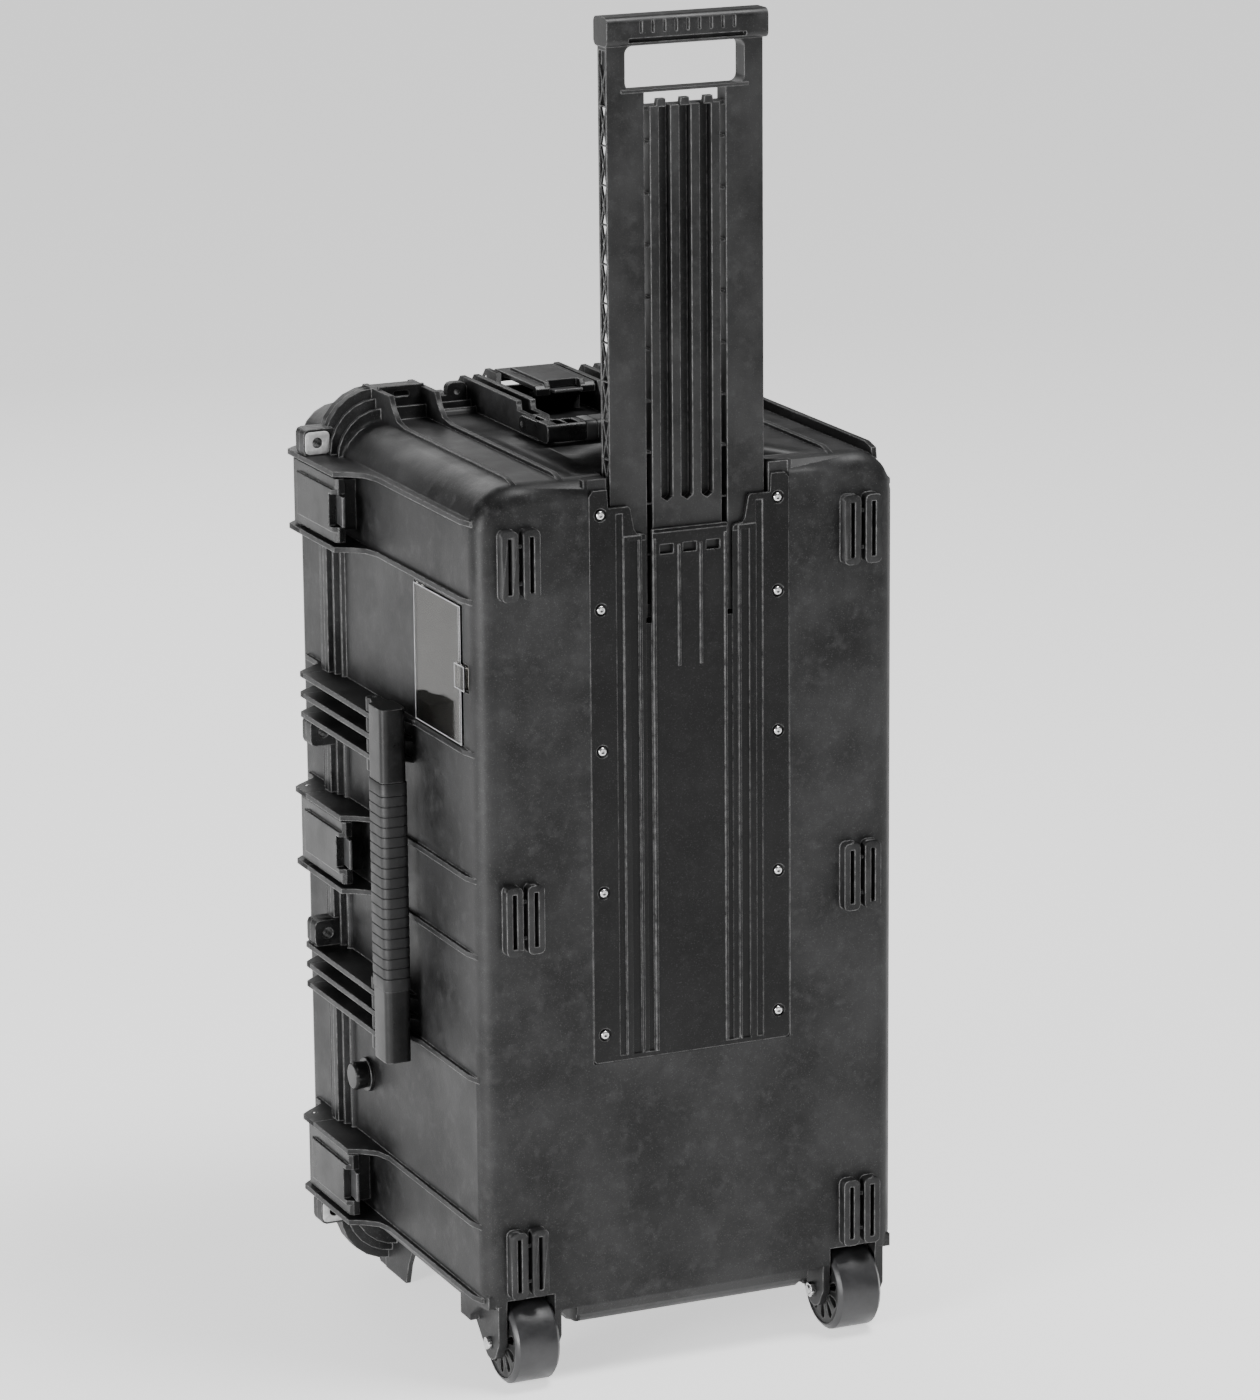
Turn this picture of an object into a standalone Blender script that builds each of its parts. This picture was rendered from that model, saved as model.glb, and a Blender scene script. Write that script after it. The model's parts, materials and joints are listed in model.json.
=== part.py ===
"""Hard equipment case on wheels, standing upright with its trolley handle drawn out.

Metres, +Z up. The ground is Z = 0, the trolley side faces -Y, the lid faces +Y,
the latches and the carry handle are on the -X side and the hinges on the +X side.
"""
import math

import bmesh
import bpy
from mathutils import Matrix, Vector

# ---- driving dimensions ------------------------------------------------------
GAP = 0.0003             # clearance kept between touching pieces
MID_Z = 0.447            # height of the middle of the case
HALF_W = 0.207           # half width of the shells
HALF_L = 0.395           # half length of the shells (along Z)
CORNER_R = 0.040         # corner radius of the shells, seen along Y
EDGE_R = 0.018           # rounding of the edge round the outer faces
WALL = 0.005             # wall thickness of both shells
PARTING_Y = 0.352        # plane where the base meets the lid
LID_Y = 0.447            # outer face of the lid
FLANGE_SIDE = 0.0095     # how far the rim stands out on the long sides
RIM_STEPS = ((0.3210, 0.3250, 0.45), (0.3335, 0.3375, 0.72),
             (0.3440, PARTING_Y, 1.0))  # (from Y, to Y, share)
TAB_Y = 0.3400           # where the drilled tabs start
FLANGE_END = 0.0140      # how far the rim stands out on the ends
RIB_Z = (0.0354, 0.1522, 0.2915, 0.3624)   # ribs of the long sides, above and below the middle
END_RIBS = (-0.1650, -0.1195, 0.1455, 0.1900)  # X of the ribs on both ends
RIB_W = 0.0050           # thickness of a rib or fin
RIB_H = 0.0035           # height of a low rib
SINK = 0.0022            # how deep ribs are rooted in the wall
CORNER_SINK = 0.0100     # the same for the rib that runs along a round corner
TOWER_H = 0.032          # height of the fins that guard latches and hinges
TOWER_Y = 0.264          # where those fins reach their full height
END_TOWER_Y = 0.278      # the same on the ends
FIN_STEP = 0.0195        # spacing of the three fins of a handle bracket
BUMPER_TOP = 0.0275      # how far the corner bumpers stand out at the top
BUMPER_FOOT = 0.0400     # and at the bottom
FOOT = MID_Z - HALF_L    # height of the end feet, from the shell to the ground

LATCH_HALF = 0.0300      # half width of a latch
LATCH_FINS = 0.03545     # the fins beside a latch, from its middle
LATCH_PIVOT = (0.0205, 0.3780)             # (out from the wall, Y)
HINGE_AXIS = (0.0250, PARTING_Y)           # (out from the wall, Y)
KNUCKLE_R = 0.0085
HINGE_PIN_R = 0.0030
PIN_R = 0.0020           # pins of latches and handles

TAB_OUT = 0.0175         # holes of the padlock tabs, out from the wall
TAB_HOLE_R = 0.0052
TAB_Z = (0.3765, -0.3765, 0.0985, -0.0985)  # tabs, from the middle; the first two carry steel plates

WHEEL_R = 0.040
WHEEL_W = 0.044
WHEEL_X = 0.1635
AXLE = (0.022, 0.040)    # (Y, Z)
AXLE_R = 0.0040

SEAT_HALF = 0.0985       # trolley recess, half width of the cover's seat
SEAT_Z = MID_Z - 0.1475
CHANNEL_HALF = 0.0795    # channel that the trolley handle slides in
CHANNEL_Z = MID_Z - 0.1430
CHANNEL_DEPTH = 0.0290
COVER_T = 0.0035
HANDLE_HALF = 0.0755     # trolley handle, half width of its legs
GRIP_HALF = 0.0778
HANDLE_Y = (0.0050, 0.0230)
HANDLE_TOP = MID_Z + 0.802
HANDLE_FOOT = MID_Z + 0.262
SCREW_X = 0.0870
SCREW_Z = (0.3615, 0.2752, 0.1449, 0.0130, -0.1208)

LUG_X = 0.1680           # cored feet on the trolley face
LUG_Z = 0.3257
LUG_H = 0.0105

CARRY_PIVOT = (0.0240, 0.1915)             # side handle, (out from the wall, Y)
CARRY_BAR = (0.0255, 0.1565)               # middle of its bar, likewise
CARRY_HALF = 0.1680      # half length of the side handle
CARRY_GRIP = 0.0990      # half length of its soft grip
END_PIVOT = (0.2000, MID_Z + HALF_L + 0.0115)  # end handle, (Y, Z)
END_HALF = 0.0770        # half length of the end handle
END_FINS = (0.0550, 0.0690)

VALVE = (0.285, MID_Z - 0.225)             # (Y, Z)
WINDOW_Y = (0.036, 0.146)
WINDOW_Z = (MID_Z + 0.1560, MID_Z + 0.2835)

CENTRE_X = -0.00275      # middle of the footprint, which becomes the origin
CENTRE_Y = 0.2160

# ---- materials ----------------------------------------------------------------
FINISHES = {
    "case_resin": ((0.030, 0.030, 0.032), 0.55, 0.0),
    "trolley_resin": ((0.026, 0.026, 0.028), 0.48, 0.0),
    "latch_resin": ((0.022, 0.022, 0.024), 0.40, 0.0),
    "grip_rubber": ((0.028, 0.028, 0.028), 0.75, 0.0),
    "seal_rubber": ((0.015, 0.015, 0.015), 0.80, 0.0),
    "wheel_hub": ((0.025, 0.025, 0.027), 0.50, 0.0),
    "wheel_tread": ((0.035, 0.035, 0.037), 0.45, 0.0),
    "steel": ((0.62, 0.62, 0.62), 0.28, 1.0),
    "clear_window": ((0.80, 0.80, 0.80), 0.10, 0.0),
}


def finish(name):
    """The Principled material of one finish, made once."""
    material = bpy.data.materials.get(name)
    if material is None:
        colour, roughness, metallic = FINISHES[name]
        material = bpy.data.materials.new(name)
        material.use_nodes = True
        shader = material.node_tree.nodes["Principled BSDF"]
        shader.inputs["Base Color"].default_value = (*colour, 1.0)
        shader.inputs["Roughness"].default_value = roughness
        shader.inputs["Metallic"].default_value = metallic
        if name == "clear_window":
            shader.inputs["Alpha"].default_value = 0.35
    return material


# ---- solids ---------------------------------------------------------------------
def solid(name, bm, slot=None):
    """An object from a bmesh, its faces pointing out."""
    bmesh.ops.recalc_face_normals(bm, faces=bm.faces)
    mesh = bpy.data.meshes.new(name)
    bm.to_mesh(mesh)
    bm.free()
    obj = bpy.data.objects.new(name, mesh)
    bpy.context.scene.collection.objects.link(obj)
    if slot:
        mesh.materials.append(finish(slot))
    return obj


def loft(name, rings, slot=None, ring_shape=False):
    """A closed solid through rings of points. ring_shape joins the last ring to the first."""
    bm = bmesh.new()
    rows = [[bm.verts.new(p) for p in ring] for ring in rings]
    count = len(rings[0])
    pairs = list(zip(rows, rows[1:]))
    if ring_shape:
        pairs.append((rows[-1], rows[0]))
    else:
        bm.faces.new(rows[0])
        bm.faces.new(rows[-1])
    for low, high in pairs:
        for i in range(count):
            j = (i + 1) % count
            bm.faces.new((low[i], low[j], high[j], high[i]))
    return solid(name, bm, slot)


def place(point, axis, along):
    """A 2-D point on the plane across an axis: X takes (y, z), Y takes (x, z), Z takes (x, y)."""
    a, b = point
    return {"X": (along, a, b), "Y": (a, along, b), "Z": (a, b, along)}[axis]


def prism(name, outline, axis, low, high, slot=None):
    """An outline extruded along an axis."""
    rings = [[place(p, axis, along) for p in outline] for along in (low, high)]
    return loft(name, rings, slot)


def block(name, x, y, z, slot=None):
    """A box between two corners."""
    outline = [(x[0], z[0]), (x[1], z[0]), (x[1], z[1]), (x[0], z[1])]
    return prism(name, outline, "Y", y[0], y[1], slot)


def arc(cx, cy, radius, start, end, steps):
    """Points on an arc, angles in degrees, both ends included."""
    angles = [math.radians(start + (end - start) * i / steps) for i in range(steps + 1)]
    return [(cx + radius * math.cos(a), cy + radius * math.sin(a)) for a in angles]


def circle(cx, cy, radius, sides):
    """A regular polygon's points."""
    return arc(cx, cy, radius, 0, 360 * (1 - 1 / sides), sides - 1)


def rounded(cx, cy, half_x, half_y, radius, steps=4):
    """A rectangle with round corners, as a list of points."""
    points = []
    for sx, sy, start in ((1, 1, 0), (-1, 1, 90), (-1, -1, 180), (1, -1, 270)):
        corner = (cx + sx * (half_x - radius), cy + sy * (half_y - radius))
        points += arc(*corner, radius, start, start + 90, steps)
    return points


def disc(name, axis, centre, radius, low, high, sides=16, slot=None):
    """A cylinder along an axis."""
    return prism(name, circle(*centre, radius, sides), axis, low, high, slot)


def turned(name, axis, centre, profile, sides, slot=None):
    """A solid of revolution along an axis; profile is a list of (along, radius) from end to end."""
    rings = [[place(p, axis, along) for p in circle(*centre, radius, sides)] for along, radius in profile]
    return loft(name, rings, slot)


def apply_boolean(obj, tools, operation):
    """Unites or cuts an object with the others, which are used up."""
    for tool in tools:
        modifier = obj.modifiers.new("cut", "BOOLEAN")
        modifier.operation = operation
        modifier.object = tool
        modifier.solver = "EXACT"
        graph = bpy.context.evaluated_depsgraph_get()
        mesh = bpy.data.meshes.new_from_object(obj.evaluated_get(graph))
        obj.modifiers.clear()
        obj.data = mesh
        bpy.data.objects.remove(tool)
    return obj


def unite(obj, *tools):
    return apply_boolean(obj, tools, "UNION")


def cut(obj, *tools):
    return apply_boolean(obj, tools, "DIFFERENCE")


def smooth(obj, angle=35):
    """Smooth shading with sharp edges kept."""
    obj.data.shade_smooth()
    obj.data.set_sharp_from_angle(angle=math.radians(angle))
    return obj


def at_joint(obj, point):
    """Puts an object's origin on its joint, leaving its shape where it is."""
    obj.data.transform(Matrix.Translation(-Vector(point)))
    obj.location = point
    return obj


# ---- outlines shared by base and lid ----------------------------------------------
def shell_ring(y, inset=0.0, side=0.0, end=0.0):
    """The case's outline at a depth: inset shrinks it, side and end widen it."""
    half_x, half_z = HALF_W - inset + side, HALF_L - inset + end
    radius = max(CORNER_R - inset + side, 0.006)
    return [(x, y, z) for x, z in rounded(0.0, MID_Z, half_x, half_z, radius, 5)]


def edge_rings(face_y, inward, inset=0.0):
    """Rings of the rounded edge between a face and the sides; inward is +1 or -1 along Y."""
    radius = EDGE_R - inset
    rings = []
    for step in range(4):
        a = math.radians(30 * step)
        depth = inset + radius * (1 - math.cos(a))
        rings.append(shell_ring(face_y + inward * depth, inset + radius * (1 - math.sin(a))))
    return rings


def side_fin(side, z, profile, width=RIB_W):
    """A rib or fin on a long side: side is +1 or -1, profile a list of (Y, out)."""
    rings = [[(side * (HALF_W + out), y, z + k * width / 2) for y, out in profile] for k in (-1, 1)]
    return loft("fin", rings)


def end_fin(end, x, profile, width=RIB_W):
    """A rib or fin on an end: end is +1 at the top and -1 at the bottom."""
    if x > HALF_W - CORNER_R:
        profile = [(y, -CORNER_SINK if out == -SINK else out) for y, out in profile]
    rings = [[(x + k * width / 2, y, MID_Z + end * (HALF_L + out)) for y, out in profile] for k in (-1, 1)]
    return loft("fin", rings)


def low_rib(last_y):
    """A low rib that starts on the rounded back edge."""
    return [(0.012, -SINK), (0.014, -0.0002), (0.028, RIB_H), (last_y, RIB_H), (last_y, -SINK)]


def tower(full_y, height, tip_y=PARTING_Y, tail=True):
    """A concave rise from the low rib to full height at full_y, level up to tip_y."""
    start = [(0.012, -SINK), (0.014, -0.0002), (0.028, RIB_H)] if tail else [(full_y - 0.045, -SINK)]
    rise = [(full_y - 0.036, RIB_H if tail else 0.001), (full_y - 0.018, 0.25 * height),
            (full_y - 0.007, 0.60 * height), (full_y, height)]
    return start + rise + [(tip_y, height), (tip_y, -SINK)]


def bracket_fin(tail):
    """A fin of the side handle's bracket, tall from the pivot to the rim."""
    y, top = CARRY_PIVOT[1] - 0.0085, TOWER_H
    start = [(0.012, -SINK), (0.014, -0.0002), (0.028, RIB_H),
             (y - 0.040, RIB_H)] if tail else [(y - 0.030, -SINK)]
    return start + [(y - 0.014, 0.008), (y, 0.017), (y, top - 0.003), (y + 0.003, top),
                    (PARTING_Y, top), (PARTING_Y, -SINK)]


def latch_middles():
    """Z of the three latches of the long side."""
    outer = (RIB_Z[2] + RIB_Z[3]) / 2
    return (MID_Z + outer, MID_Z, MID_Z - outer)


def lid_fin(height, reach):
    """A fin on the lid, level near the rim and falling off towards the lid's face."""
    y = PARTING_Y + 0.0005
    return [(y, -SINK), (y, height), (y + reach - 0.006, height), (y + reach, height - 0.006),
            (y + reach + 0.016, 0.006), (y + reach + 0.024, RIB_H), (LID_Y - 0.026, RIB_H),
            (LID_Y - 0.020, -SINK)]


def bumper_parts(y_low, y_high, share):
    """One step of the rim at the four corners, where it stands out further than along the sides.

    The lower corners reach deeper, because the case stands on that end. share is the step's part
    of the full height.
    """
    parts = []
    outer_x, radius = HALF_W + share * FLANGE_SIDE, CORNER_R + share * 0.012
    for side, inner_x in ((-1, END_RIBS[1]), (1, END_RIBS[2])):
        for end, reach in ((1, BUMPER_TOP), (-1, BUMPER_FOOT)):
            top, root = HALF_L + share * reach, HALF_L - 0.003
            outline = [(outer_x, HALF_L - CORNER_R)] + arc(outer_x - radius, top - radius, radius, 0, 90, 6)
            outline += [(abs(inner_x), top), (abs(inner_x), root)]
            outline += arc(HALF_W - CORNER_R, HALF_L - CORNER_R, CORNER_R - 0.003, 90, 0, 4)
            points = [(side * x, MID_Z + end * z) for x, z in outline]
            parts.append(prism("bumper", points, "Y", y_low, y_high))
    return parts


def small_tab(y_low, y_high):
    """The little drilled tab of the rim beside the end handle's bracket, and its hole."""
    x, z = -0.0818, MID_Z + 0.4040
    return (prism("tab", rounded(x, z, 0.0103, 0.0165, 0.0060, 3), "Y", y_low, y_high),
            disc("hole", "Y", (x, z + 0.0075), 0.0026, y_low - 0.01, y_high + 0.01, 10))


def tab_parts(y_low, y_high):
    """Drilled tabs at the rim beside the outer latches and the handle."""
    outlines = [rounded(-HALF_W - 0.0140, MID_Z + z, 0.0165, 0.0130, 0.005, 2) for z in TAB_Z]
    return [prism("tab", outline, "Y", y_low, y_high) for outline in outlines]


def tab_holes(y_low, y_high):
    return [disc("hole", "Y", (-HALF_W - TAB_OUT, MID_Z + z), TAB_HOLE_R, y_low, y_high, 12) for z in TAB_Z]


# ---- base shell ---------------------------------------------------------------------
def base_hollow_box():
    """The box with its rounded back edge and stepped rim, hollow from the parting plane."""
    rings = edge_rings(0.0, 1)
    for y, share in ((0.3200, 0.0), (0.3215, 0.42), (0.3245, 0.42), (0.3260, 0.0),
                     (0.3325, 0.0), (0.3340, 0.70), (0.3370, 0.70), (0.3385, 0.05),
                     (0.3430, 0.05), (0.3440, 1.0), (PARTING_Y, 1.0)):
        rings.append(shell_ring(y, side=share * FLANGE_SIDE, end=share * FLANGE_END))
    body = loft("base_shell", rings, "case_resin")
    hollow = edge_rings(WALL, 1, WALL)
    hollow = [[(x, y - WALL, z) for x, y, z in ring] for ring in hollow]
    return cut(body, loft("hollow", hollow + [shell_ring(PARTING_Y + 0.01, WALL)]))


def base_fins():
    """Ribs, latch towers, hinge towers and handle brackets of the base."""
    fins = []
    latch_fin = tower(TOWER_Y, TOWER_H)
    for sign in (1, -1):
        for k, rib in enumerate(RIB_Z):
            z = MID_Z + sign * rib
            fins.append(side_fin(-1, z, bracket_fin(True) if k == 1 else latch_fin))
            fins.append(side_fin(1, z, low_rib(0.318) if k == 1 else hinge_fin()))
        for step in (1, 2):
            fins.append(side_fin(-1, MID_Z + sign * (RIB_Z[1] - step * FIN_STEP), bracket_fin(False)))
    for x in END_RIBS:
        fins.append(end_fin(1, x, tower(0.300, BUMPER_TOP)))
        fins.append(end_fin(-1, x, tower(0.300, FOOT)))
    for end in (1, -1):
        for x, height in ((-LATCH_FINS, 0.0185), (LATCH_FINS, 0.0285)):
            fins.append(end_fin(end, x, tower(END_TOWER_Y, height, tail=False)))
    for x in END_FINS:
        fins += [end_fin(1, side * x, end_bracket_fin()) for side in (-1, 1)]
    return fins


def hinge_fin():
    """A hinge tower's fin, rounded round the hinge axis past the parting plane."""
    out, y = HINGE_AXIS
    round_end = [(y + b, out + a) for a, b in arc(0.0, 0.0, KNUCKLE_R, 10, 170, 6)]
    rise = tower(TOWER_Y, TOWER_H)[:-2]
    return rise + [(y - 0.006, TOWER_H), (y, out + KNUCKLE_R)] + round_end + [(y - 0.0005, out - 0.0090),
                                                                          (PARTING_Y, -SINK)]


def end_bracket_fin():
    """A fin of the end handle's bracket: low round the pivot, then as tall as the towers."""
    y, z = END_PIVOT
    low = z - MID_Z - HALF_L + 0.0080
    return [(y - 0.030, -SINK), (y - 0.024, 0.001), (y - 0.010, 0.007), (y - 0.0075, low),
            (y + 0.0235, low),
            (y + 0.0250, 0.0280), (PARTING_Y, 0.0280), (PARTING_Y, -SINK)]


def trolley_recess():
    """What is added to and cut from the base for the trolley cover and its channel."""
    top = MID_Z + HALF_L
    added = block("housing", (-SEAT_HALF - 0.004, SEAT_HALF + 0.004), (0.0030, CHANNEL_DEPTH + 0.004),
                  (SEAT_Z - 0.004, top - 0.0012))
    seat = block("seat", (-SEAT_HALF, SEAT_HALF), (-0.010, COVER_T + GAP), (SEAT_Z, top + 0.02))
    channel = block("channel", (-CHANNEL_HALF, CHANNEL_HALF), (-0.010, CHANNEL_DEPTH),
                    (CHANNEL_Z, top + 0.02))
    bores = [disc("bore", "Y", (side * SCREW_X, MID_Z + z), 0.0021, -0.001, 0.0170, 8)
             for side in (-1, 1) for z in SCREW_Z]
    return [added], [seat, channel] + bores


def keel():
    """The rounded belly of the lower end between the wheels."""
    radius, low = 0.0300, 0.0455
    outline = [(0.0, 0.0850)] + arc(radius, low + radius, radius, 180, 270, 6) + [(0.2850, low),
                                                                                  (0.3050, 0.0535)]
    outline += [(0.3050, 0.0560), (EDGE_R, 0.0560)] + arc(EDGE_R, 0.0700, 0.0152, 255, 195,
                                                          3) + [(0.0030, 0.0850)]
    return prism("keel", outline, "X", -0.1110, 0.1110)


def wheel_housings():
    """Wheel wells, ears and nut notches at the lower corners."""
    added, removed = [], []
    y, z = AXLE
    half = WHEEL_W / 2 + 0.0015
    ear = ([(0.0015, 0.080), (0.0015, z + 0.004)] + arc(y, z, 0.0160, 195, 335, 7)
           + [(0.0640, 0.0600), (0.0640, 0.080)])
    for side in (-1, 1):
        def span(a, b):
            return tuple(sorted((side * a, side * b)))
        added.append(block("well", span(WHEEL_X - half - 0.0265, HALF_W - 0.003), (0.004, 0.0715),
                           (0.054, 0.0900)))
        added.append(prism("ear", ear, "X", *span(WHEEL_X + half, WHEEL_X + half + 0.0085)))
        added.append(prism("ear", ear, "X", *span(WHEEL_X - half - 0.0070, WHEEL_X - half)))
        removed.append(block("pocket", span(WHEEL_X - half, WHEEL_X + half), (-0.01, y),
                             (-0.01, z + 0.0455)))
        removed.append(disc("pocket", "X", AXLE, 0.0455,
                            *span(WHEEL_X - half + 0.0001, WHEEL_X + half - 0.0001), 24))
        scoop = [(-0.01, 0.0), (0.0480, 0.0), (0.0480, 0.0600), (0.0300, 0.0740), (-0.01, 0.0800)]
        removed.append(prism("scoop", scoop, "X", *span(WHEEL_X + half + 0.0085, HALF_W + 0.01)))
        notch = [(-0.01, 0.0), (0.0420, 0.0), (0.0420, 0.0610), (0.0360, 0.0690), (-0.01, 0.0690)]
        removed.append(prism("notch", notch, "X", *span(WHEEL_X - half - 0.0225, WHEEL_X - half - 0.0070)))
        removed.append(disc("axle", "X", AXLE, AXLE_R + GAP, *span(WHEEL_X - 0.06, WHEEL_X + 0.06), 12))
    return added, removed


def cored_feet():
    """Six pairs of oval feet on the trolley face, each with a slot, and the bars between them."""
    added, removed = [], []
    for sx in (-1, 1):
        for sz in (-1, 0, 1):
            x0, z0 = sx * LUG_X, MID_Z + sz * LUG_Z
            for k in (-1, 1):
                x = x0 + k * 0.0105
                added.append(prism("foot", rounded(x, z0, 0.0081, 0.0320, 0.0050, 3), "Y", -LUG_H, 0.002))
                removed.append(block("slot", (x - 0.0021, x + 0.0021), (-0.02, -0.0008),
                                     (z0 - 0.0255, z0 + 0.0255)))
            for dz in (-0.0170, 0.0170):
                added.append(block("bar", (x0 - 0.004, x0 + 0.004), (-0.0060, 0.002), (z0 + dz - 0.0016,
                                                                                      z0 + dz + 0.0016)))
    return added, removed


def latch_catches():
    """The lugs that the latches grip."""
    out = 0.0185
    added = [block("catch", (-HALF_W - out, -HALF_W + SINK), (0.2880, 0.2960), (z - 0.024, z + 0.024))
             for z in latch_middles()]
    for end in (1, -1):
        z = sorted((MID_Z + end * (HALF_L - SINK), MID_Z + end * (HALF_L + out)))
        added.append(block("catch", (-0.024, 0.024), (0.2980, 0.3060), z))
    return added


def wall_openings():
    """Pivot bores, the valve's hole, the window's bed and the padlock holes."""
    out, y = CARRY_PIVOT
    removed = tab_holes(PARTING_Y - 0.03, PARTING_Y + 0.01)
    for sign in (-1, 1):
        z = sorted((MID_Z + sign * 0.108, MID_Z + sign * 0.160))
        removed.append(disc("bore", "Z", (-HALF_W - out, y), PIN_R + GAP, *z, 10))
        x = sorted((sign * 0.050, sign * 0.074))
        removed.append(disc("bore", "X", END_PIVOT, PIN_R + GAP, *x, 10))
    out, y = HINGE_AXIS
    for z in latch_middles():
        reach = LATCH_FINS + 0.006
        removed.append(disc("bore", "Z", (HALF_W + out, y), HINGE_PIN_R + GAP, z - reach, z + reach, 12))
    removed.append(disc("valve hole", "X", VALVE, 0.0090, -HALF_W - 0.01, -HALF_W + 0.02, 16))
    removed.append(block("bed", (-HALF_W - 0.01, -HALF_W + 0.0022),
                         (WINDOW_Y[0] - 0.002, WINDOW_Y[1] + 0.002),
                         (WINDOW_Z[0] - 0.002, WINDOW_Z[1] + 0.002)))
    middle = sum(WINDOW_Z) / 2
    removed.append(block("clip bed", (-HALF_W - 0.01, -HALF_W + 0.0030),
                         (WINDOW_Y[0] - 0.0150, WINDOW_Y[0] + 0.001),
                         (middle - 0.013, middle + 0.013)))
    return removed


def build_base():
    """The deep shell that holds the load, the wheels and the trolley handle."""
    base = base_hollow_box()
    for low, high, share in RIM_STEPS:
        unite(base, *bumper_parts(low, high, share))
    tab, hole = small_tab(RIM_STEPS[2][0], PARTING_Y)
    unite(base, *tab_parts(TAB_Y, PARTING_Y), tab, *base_fins())
    cut(base, hole)
    for added, removed in (trolley_recess(), wheel_housings(), cored_feet()):
        unite(base, *added)
        cut(base, *removed)
    unite(base, keel(), *latch_catches())
    cut(base, *wall_openings())
    return smooth(base)


# ---- lid ------------------------------------------------------------------------------
def lid_hollow_box():
    """The shallow shell with its rim, raised pads on its face, and the seal's groove."""
    start = PARTING_Y + GAP
    rings = [shell_ring(y, side=share * FLANGE_SIDE, end=share * FLANGE_END) for y, share in
             ((start, 1.0), (0.3590, 1.0), (0.3600, 0.05), (0.3650, 0.05), (0.3665, 0.70), (0.3695, 0.70),
              (0.3710, 0.0))]
    body = loft("lid_shell", rings + edge_rings(LID_Y, -1)[::-1], "case_resin")
    hollow = [[(x, y + WALL, z) for x, y, z in ring] for ring in edge_rings(LID_Y - WALL, -1, WALL)][::-1]
    return cut(body, loft("hollow", [shell_ring(start - 0.01, WALL)] + hollow))


def lid_knuckles():
    """Knuckles on the hinge side with the arms that join them to the lid."""
    half = LATCH_FINS - RIB_W / 2 - 2 * GAP
    return [prism("knuckle", hinge_outline(), "Z", z - half, z + half) for z in latch_middles()]


def hinge_outline():
    """A lid knuckle seen along the hinge axis: round the pin, then back to the lid's wall."""
    out, y = HINGE_AXIS
    radius = KNUCKLE_R - GAP
    round_part = [(HALF_W + out + a, y + b) for a, b in arc(0, 0, radius, -180, 60, 9)]
    return round_part + [(HALF_W + 0.0180, y + 0.0160), (HALF_W - SINK, y + 0.0160),
                         (HALF_W - SINK, y + 0.0085),
                         (HALF_W + 0.0130, y + 0.0085), (HALF_W + out - radius, y + 0.004)]


def build_lid():
    """The shallow shell with the latch pivots and the hinge knuckles."""
    lid = lid_hollow_box()
    parts = bumper_parts(PARTING_Y + GAP, 0.3610, 1.0) + tab_parts(PARTING_Y + GAP, 0.3610)
    for z in latch_middles():
        parts += [side_fin(-1, z + k * LATCH_FINS, lid_fin(TOWER_H, 0.0330)) for k in (-1, 1)]
    for sign in (-1, 1):
        parts += [side_fin(-1, MID_Z + sign * (RIB_Z[1] - k * FIN_STEP), lid_fin(TOWER_H, 0.0140))
                  for k in range(3)]
    for end in (1, -1):
        parts += [end_fin(end, x, lid_fin(BUMPER_TOP if end > 0 else FOOT - 0.0010, 0.0200))
                  for x in END_RIBS]
        parts += [end_fin(end, k * LATCH_FINS, lid_fin(0.0285, 0.0330)) for k in (-1, 1)]
    parts += [end_fin(1, side * x, lid_fin(0.0280, 0.0140)) for x in END_FINS for side in (-1, 1)]
    parts += lid_knuckles()
    for z in (-0.245, 0.0, 0.245):
        parts.append(prism("pad", rounded(0.0, MID_Z + z, 0.160, 0.105, 0.018, 3), "Y", LID_Y - 0.002,
                           LID_Y + 0.003))
    unite(lid, *parts)
    out, y = LATCH_PIVOT
    bores = tab_holes(PARTING_Y - 0.01, PARTING_Y + 0.03)
    for z in latch_middles():
        bores.append(disc("bore", "Z", (-HALF_W - out, y), PIN_R + GAP, z - 0.042, z + 0.042, 10))
    for end in (1, -1):
        bores.append(disc("bore", "X", (y, MID_Z + end * (HALF_L + out)), PIN_R + GAP, -0.042, 0.042, 10))
    hinge_out, hinge_y = HINGE_AXIS
    for z in latch_middles():
        bores.append(disc("bore", "Z", (HALF_W + hinge_out, hinge_y), HINGE_PIN_R + GAP, z - 0.05,
                          z + 0.05, 12))
    start = PARTING_Y + GAP
    groove = [[(x, y, z) for x, y, z in shell_ring(y, inset)] for y, inset in
              ((start - 0.002, -0.0005), (start + 0.0030, -0.0005), (start + 0.0030, 0.0027),
               (start - 0.002, 0.0027))]
    bores.append(loft("groove", groove, ring_shape=True))
    cut(lid, *bores)
    return smooth(at_joint(lid, (HALF_W + hinge_out, hinge_y, MID_Z)))


def build_gasket():
    """The rubber ring in the lid's groove."""
    y0, y1 = PARTING_Y + GAP, PARTING_Y + GAP + 0.0027
    rings = [shell_ring(y, inset) for y, inset in ((y0, -0.0002), (y1, -0.0002), (y1, 0.0024),
                                                   (y0, 0.0024))]
    return smooth(loft("lid_gasket", rings, "seal_rubber", ring_shape=True))


def build_hinge_pins():
    out, y = HINGE_AXIS
    for name, z in zip(("upper", "middle", "lower"), latch_middles()):
        reach = LATCH_FINS + RIB_W / 2
        smooth(disc(f"hinge_pin_{name}", "Z", (HALF_W + out, y), HINGE_PIN_R, z - reach, z + reach, 12,
                    "steel"))


# ---- latches ----------------------------------------------------------------------------
def latch_place(kind, along, y, out, centre):
    """A latch's own (along, y, out) to the world. kind is side, top or bottom."""
    if kind == "side":
        return (-HALF_W - out, y, centre + along)
    end = 1 if kind == "top" else -1
    return (along, y, MID_Z + end * (HALF_L + out))


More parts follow.
